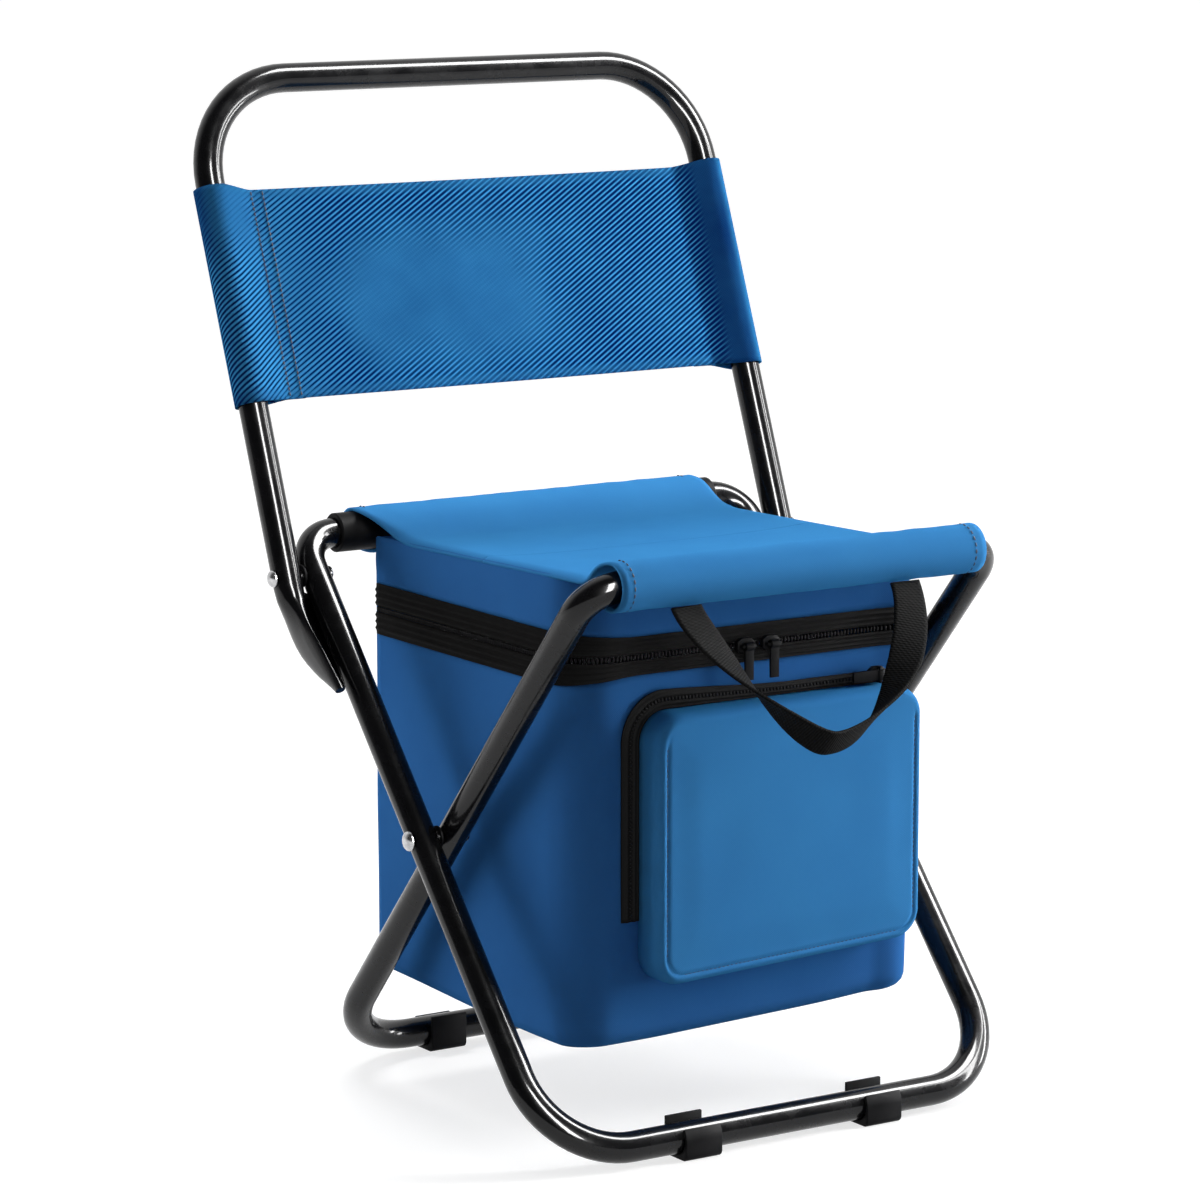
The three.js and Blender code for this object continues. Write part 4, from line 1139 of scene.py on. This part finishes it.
def from_pocket_edge(x, z):
    """The distance from a point of the face to the pocket's rounded outline."""
    dx, dz = abs(x) - (pocket_half.x - pocket_corner), abs(z) - (pocket_half.z - pocket_corner)
    return pocket_corner - math.hypot(max(dx, 0.0), max(dz, 0.0)) - min(max(dx, dz), 0.0)


def pocket_height(edge, x, z):
    """How far the face stands off the bag: a round rim, a sewn groove and a crowned middle."""
    rim = min(1.0, max(0.0, edge / pocket_rim))
    rounded = math.sqrt(1.0 - (1.0 - rim) ** 2)
    height = pocket_depth * (pocket_rim_share + (1.0 - pocket_rim_share) * rounded)
    below_zip = 1.0 - smooth_step(z / pocket_half.z, 0.70, 0.88)
    height -= pocket_groove * below_zip * math.exp(-((edge - pocket_seam) / groove_reach) ** 2)
    crown = (1.0 - (x / pocket_half.x) ** 2) * (1.0 - (z / pocket_half.z) ** 2)
    height += pocket_crown * max(0.0, crown) ** 0.7 * smooth_step(edge, pocket_seam, 0.03)
    ripple = pocket_ripple * noise.noise(Vector((x * 28.0, z * 28.0, 5.0)))
    return height + ripple * smooth_step(edge, 0.0, 0.02)


def on_pocket(x, z, height):
    """A point of the pocket, whose lower edge follows the slant of the bag's."""
    lower = 1.25 * hang(pocket_middle.x + x, bag_front) * (0.5 - 0.5 * z / pocket_half.z)
    return Vector((pocket_middle.x + x, pocket_back - height, pocket_middle.z + z - lower))


def lie_on_pocket(across, up):
    """Lays a square cloth over the pocket's face."""
    x, z = pocket_point(across, up)
    return on_pocket(x, z, pocket_height(from_pocket_edge(x, z), x, z))


blue_cloth = blue_finish("blue_cloth", (0.018, 0.106, 0.348), (0.055, 0.272, 0.590))
pocket_shape = cut_cloth(1.0, 1.0, 96, 88)
pocket_flat = pocket_shape.loops.layers.uv["flat"]
lay_cloth(pocket_shape, lie_on_pocket)
gusset = [edge for edge in pocket_shape.edges if edge.is_boundary]
for step in range(2):
    gusset = run_on(pocket_shape, gusset, (0.0, pocket_depth * pocket_rim_share / 2.0, 0.0))
for face in pocket_shape.faces:
    for corner in face.loops:
        corner[pocket_flat].uv = (corner.vert.co.x + corner.vert.co.y, corner.vert.co.z)
bmesh.ops.recalc_face_normals(pocket_shape, faces=pocket_shape.faces)
pocket = settled(pocket_shape, "front_pocket", blue_cloth, "blue_cloth", "pocket_shell")
thicken(pocket, pocket_cloth, -1.0)
fold_with_bag(pocket)

pocket_rows = bmesh.new()
seam_corner = pocket_corner - pocket_seam
seam_half = pocket_half - Vector((pocket_seam, 0.0, pocket_seam))
seam_spots = []
for start, end, count in (
        (Vector((-1.0, 0.0, 1.0)), Vector((-1.0, 0.0, -1.0)), side_stitches),
        (Vector((-1.0, 0.0, -1.0)), Vector((1.0, 0.0, -1.0)), lower_stitches),
        (Vector((1.0, 0.0, -1.0)), Vector((1.0, 0.0, 1.0)), side_stitches)):
    for step in range(count):
        way = start.lerp(end, (step + 0.5) / count)
        x, z = way.x * seam_half.x, way.z * seam_half.z
        dx, dz = abs(x) - (seam_half.x - seam_corner), abs(z) - (seam_half.z - seam_corner)
        if dx > 0.0 and dz > 0.0:
            continue
        spot = on_pocket(x, z, pocket_height(pocket_seam, x, z) + 0.0001)
        seam_spots.append((spot, end - start, Vector((0.0, -1.0, 0.0))))
sew(pocket_rows, seam_spots, pocket_stitch, pocket_thread)
pocket_sewing = settled(pocket_rows, "pocket_sewing", thread_finish, "blue_cloth")
fold_with_bag(pocket_sewing)


# The pocket's zip climbs its left side and turns along its top: a black tape with a coil down its
# middle, half hidden along the top under a fold of the bag.
pocket_zip_away = 0.0003
pocket_zip_wide = 0.012
pocket_zip_foot = 0.1325
pocket_zip_end = 0.096
pocket_zip_hidden = 0.40
pocket_welt, pocket_welt_reach, pocket_welt_middle = 0.0010, 0.16, 0.42
pocket_tape_rise, pocket_tape_thick = 0.0010, 0.0010
pocket_coil_rise = 0.0016
pocket_tooth = (0.0009, 0.0016, 0.0010)
pocket_zip_turn = Vector((
    pocket_middle.x - pocket_half.x + pocket_corner, 0.0, pocket_middle.z + pocket_half.z - pocket_corner))
pocket_zip_radius = pocket_corner + pocket_zip_away + pocket_zip_wide / 2.0
pocket_zip_climb = pocket_zip_turn.z - pocket_zip_foot
pocket_zip_bend = 0.5 * math.pi * pocket_zip_radius
pocket_zip_run = pocket_zip_end - pocket_zip_turn.x
pocket_zip_length = pocket_zip_climb + pocket_zip_bend + pocket_zip_run


def pocket_zip_place(along):
    """A point on the middle of the pocket's zip, the way along it and the way away from the pocket."""
    if along < pocket_zip_climb:
        spot = Vector((pocket_zip_turn.x - pocket_zip_radius, 0.0, pocket_zip_foot + along))
        return spot, Vector((0.0, 0.0, 1.0)), Vector((-1.0, 0.0, 0.0))
    along -= pocket_zip_climb
    if along < pocket_zip_bend:
        angle = along / pocket_zip_radius
        ahead = Vector((math.sin(angle), 0.0, math.cos(angle)))
        away = Vector((-math.cos(angle), 0.0, math.sin(angle)))
        return pocket_zip_turn + away * pocket_zip_radius, ahead, away
    spot = pocket_zip_turn + Vector((along - pocket_zip_bend, 0.0, pocket_zip_radius))
    return spot, Vector((1.0, 0.0, 0.0)), Vector((0.0, 0.0, 1.0))


def pocket_zip_lap(along):
    """How much of the tape shows: all of it up the side, and less and less along the top."""
    past_bend = along - pocket_zip_climb - pocket_zip_bend
    return 1.0 - pocket_zip_hidden * smooth_step(past_bend, -0.02, 0.6 * pocket_zip_run)


def lie_by_pocket(across, along):
    """Lays the pocket's tape beside the pocket, with a welt on each side of its coil."""
    along += pocket_zip_length / 2.0
    spot, _, away = pocket_zip_place(along)
    share = 2.0 * across / pocket_zip_wide
    welt = math.exp(-((abs(share) - pocket_welt_middle) / pocket_welt_reach) ** 2)
    front = bag_front - pocket_tape_rise - pocket_welt * welt
    out = (across + pocket_zip_wide / 2.0) * pocket_zip_lap(along) - pocket_zip_wide / 2.0
    return Vector((spot.x, front, spot.z)) + away * out


pocket_tape_shape = cut_cloth(pocket_zip_wide, pocket_zip_length, 20, 120)
lay_cloth(pocket_tape_shape, lie_by_pocket)
pocket_tape = settled(pocket_tape_shape, "pocket_tape", zip_cloth, "zip_tape", "pocket_zip_tape")
thicken(pocket_tape, pocket_tape_thick, 0.0)
fold_with_bag(pocket_tape)

pocket_coil_shape = bmesh.new()
for step in range(int(pocket_zip_length / tooth_pitch)):
    along = (step + 0.5) * tooth_pitch
    spot, ahead, away = pocket_zip_place(along)
    inward = away * pocket_zip_wide / 2.0 * (1.0 - pocket_zip_lap(along))
    point = Vector((spot.x, bag_front - pocket_coil_rise, spot.z)) - inward
    tooth(pocket_coil_shape, point, ahead, Vector((0.0, -1.0, 0.0)), away, pocket_tooth)
bmesh.ops.recalc_face_normals(pocket_coil_shape, faces=pocket_coil_shape.faces)
pocket_coil = settled(pocket_coil_shape, "pocket_coil", black_plastic, "zip_tape", "pocket_zip_coil")
fold_with_bag(pocket_coil)


# The seat is blue cloth, rolled round a sleeve at the front and at the rear and sewn down behind
# each roll. It is laid here as two cloths that meet in the middle, so that each follows its own bar.
seat_span = (rear_bar - front_bar).length
seat_reach = seat_span / 2.0
seat_middle = (front_bar + rear_bar) / 2.0
seat_thick = 0.0018
roll_radius = 0.0136
roll_sweep = math.radians(245.0)
roll_length = roll_radius * roll_sweep
seat_slack = 0.0012
seat_length = seat_reach + seat_slack + roll_length
seat_half = 0.1206
seat_sag = 0.0030
seat_edge, seat_edge_drop = 0.006, 0.0030
hem_pucker = 0.0004
hem_seam = 0.018
ring_inset, ring_lift = 0.0075, 0.0001
ring_start, ring_step = 96.0, 16.0


def seat_section(along, rise_run):
    """The seat's section from its middle to the bar: flat, up to the top of the roll and round it."""
    if along <= seat_length - roll_length:
        run = along * seat_reach / (seat_length - roll_length)
        return run, roll_radius * smooth_step(run, seat_reach - rise_run, seat_reach)
    angle = 0.5 * math.pi - (along - seat_length) / roll_radius - roll_sweep
    return seat_reach + roll_radius * math.cos(angle), roll_radius * math.sin(angle)


def seat_lie(toward, hem_half, rise_run, hem_tuck):
    """Lays one half of the seat towards its bar. Its sides are drawn in between the roll and the bag."""
    way = (toward - seat_middle).normalized()
    up = (upward - way * way.z).normalized()

    def lie(across, along):
        run, rise = seat_section(along + seat_length / 2.0, rise_run)
        half = seat_half + (hem_half - seat_half) * smooth_step(run, seat_reach - 0.040, seat_reach - 0.008)
        half -= hem_tuck * smooth_step(along, seat_length / 2.0 - 0.7 * roll_length, seat_length / 2.0)
        x = 2.0 * across * half
        loose = 1.0 - smooth_step(run, seat_reach - 0.045, seat_reach - 0.015)
        edge = max(0.0, (abs(x) - half + seat_edge) / seat_edge)
        sag = seat_sag * math.cos(0.5 * math.pi * min(1.0, run / seat_reach)) ** 2 * (1.0 - (x / half) ** 4)
        pucker = hem_pucker * noise.noise(Vector((x * 90.0, run * 12.0, 9.0)))
        pucker *= smooth_step(run, seat_reach - 0.06, seat_reach)
        rise += loose * (-sag - seat_edge_drop * edge * edge) + pucker
        return seat_middle + way * run + up * rise + Vector((x, 0.0, 0.0))
    return lie


for name, bar, hem_half, rise_run, hem_tuck, stitches, body, nodes in (
        ("seat_front", front_bar, 0.127, 0.042, 0.0, 15, "inner_frame", ("seat_front_hem", "seat_panel")),
        ("seat_rear", rear_bar, 0.1245, 0.066, 0.020, 9, "outer_frame", ("seat_rear_hem",))):
    lie = seat_lie(bar, hem_half, rise_run, hem_tuck)
    cloth = cut_cloth(1.0, seat_length, 64, 112)
    flat = cloth.loops.layers.uv["flat"]
    for face in cloth.faces:
        for corner in face.loops:
            corner[flat].uv.x *= 2.0 * seat_half
    lay_cloth(cloth, lie)
    if bar is front_bar:
        bmesh.ops.reverse_faces(cloth, faces=cloth.faces)
    half_seat = settled(cloth, name, blue_cloth, "blue_cloth", *nodes)
    thicken(half_seat, seat_thick, 0.0)
    way = (bar - seat_middle).normalized()
    hem_edge, middle_edge = seat_middle + way * (seat_reach - hem_seam), seat_middle
    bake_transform(half_seat)
    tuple(hem_edge)
    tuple(middle_edge)
    rows = bmesh.new()
    for side in (-1.0, 1.0):
        ring_x = side * (hem_half - ring_inset)
        for step in range(stitches):
            angle = math.radians(ring_start - ring_step * step)
            out = way * math.cos(angle) + upward * math.sin(angle)
            point = bar + Vector((ring_x, 0.0, 0.0)) + out * (roll_radius + seat_thick / 2.0 + ring_lift)
            sew(rows, [(point, Vector((1.0, 0.0, 0.0)).cross(out), out)])
    seat_sewing = settled(rows, f"{name}_sewing", thread_finish, "blue_cloth")
    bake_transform(seat_sewing)
    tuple(hem_edge)
    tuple(middle_edge)


# The carrying strap is a length of black webbing, sewn under the front hem and hanging in a loop
# that turns over as it goes down.
strap_root = Vector((-0.0055, -0.172138, 0.326402))
strap_spread_half = 0.0765
strap_drop = 0.0925
strap_tilt = math.radians(34.0)
strap_wide = 0.020
strap_thick = 0.0018
strap_sway = -0.012
strap_lean = math.radians(105.0)
strap_samples = 200
strap_ways = (
    ((-1.0, 0.0), (-1.0, 0.2), (-0.42, 1.0), None),
    (None, (0.35, 1.0), (1.0, 0.42), (1.0, 0.0)))
strap_down = Vector((0.0, -math.sin(strap_tilt), -math.cos(strap_tilt)))
strap_facing = Vector((0.0, -math.cos(strap_tilt), math.sin(strap_tilt)))


def strap_point(half, share):
    """A point on one half of the strap's loop, in the plane that the loop hangs in."""
    lowest = Vector((strap_sway, strap_drop))
    ends = [
        lowest if end is None else Vector((end[0] * strap_spread_half, end[1] * strap_drop))
        for end in strap_ways[half]]
    rest = 1.0 - share
    return (ends[0] * rest ** 3 + ends[1] * 3.0 * rest ** 2 * share
            + ends[2] * 3.0 * rest * share ** 2 + ends[3] * share ** 3)


strap_route = [
    strap_point(half, step / strap_samples) for half in (0, 1) for step in range(strap_samples + half)]
strap_steps = [0.0]
for here, there in zip(strap_route, strap_route[1:]):
    strap_steps.append(strap_steps[-1] + (there - here).length)
strap_length = strap_steps[-1]


def lie_in_loop(across, along):
    """The webbing hangs from its seam and leans over until it lies on its edge at the bottom."""
    reach = min(strap_length, max(0.0, along + strap_length / 2.0))
    near = max(1, next((i for i, far in enumerate(strap_steps) if far >= reach), len(strap_steps) - 1))
    before, after = strap_route[near - 1], strap_route[near]
    gap = strap_steps[near] - strap_steps[near - 1]
    flat = before.lerp(after, (reach - strap_steps[near - 1]) / gap)
    slope = (after - before).normalized()
    share = reach / strap_length
    ahead = Vector((slope.x, 0.0, 0.0)) + strap_down * slope.y
    turn = strap_lean * math.sin(math.pi * share) ** 2
    side = strap_facing.cross(ahead) * math.cos(turn) - strap_facing * math.sin(turn)
    return strap_root + Vector((flat.x, 0.0, 0.0)) + strap_down * flat.y + side * across


webbing, web_tree, web_shader, web_place = new_finish(
    "black_webbing", Roughness=0.66, Specular_IOR_Level=0.02)
web_flat = flat_place(web_tree)
web_ribs = threaded(web_tree, web_flat, 0.0016)
web_twill = threaded(web_tree, web_flat, 0.0022, math.radians(45.0))
web_height = sum_of(web_tree, "MULTIPLY_ADD", web_twill["Across"], 0.6, web_ribs["Along"])
web_shade = sum_of(web_tree, "MULTIPLY_ADD", web_height, 0.4, mottled(web_tree, web_place, 90.0, 0.0, 0.35))
web_tree.links.new(
    shaded(web_tree, web_shade, (0.003, 0.003, 0.003), (0.011, 0.011, 0.011)),
    web_shader.inputs["Base Color"])
raised(web_tree, web_shader, web_height, 0.0003, 0.8)

strap_shape = cut_cloth(strap_wide, strap_length, 10, 120)
lay_cloth(strap_shape, lie_in_loop)
strap = settled(strap_shape, "carry_webbing", webbing, "webbing", "carry_strap")
thicken(strap, strap_thick, 0.0)
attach(strap, "handle")
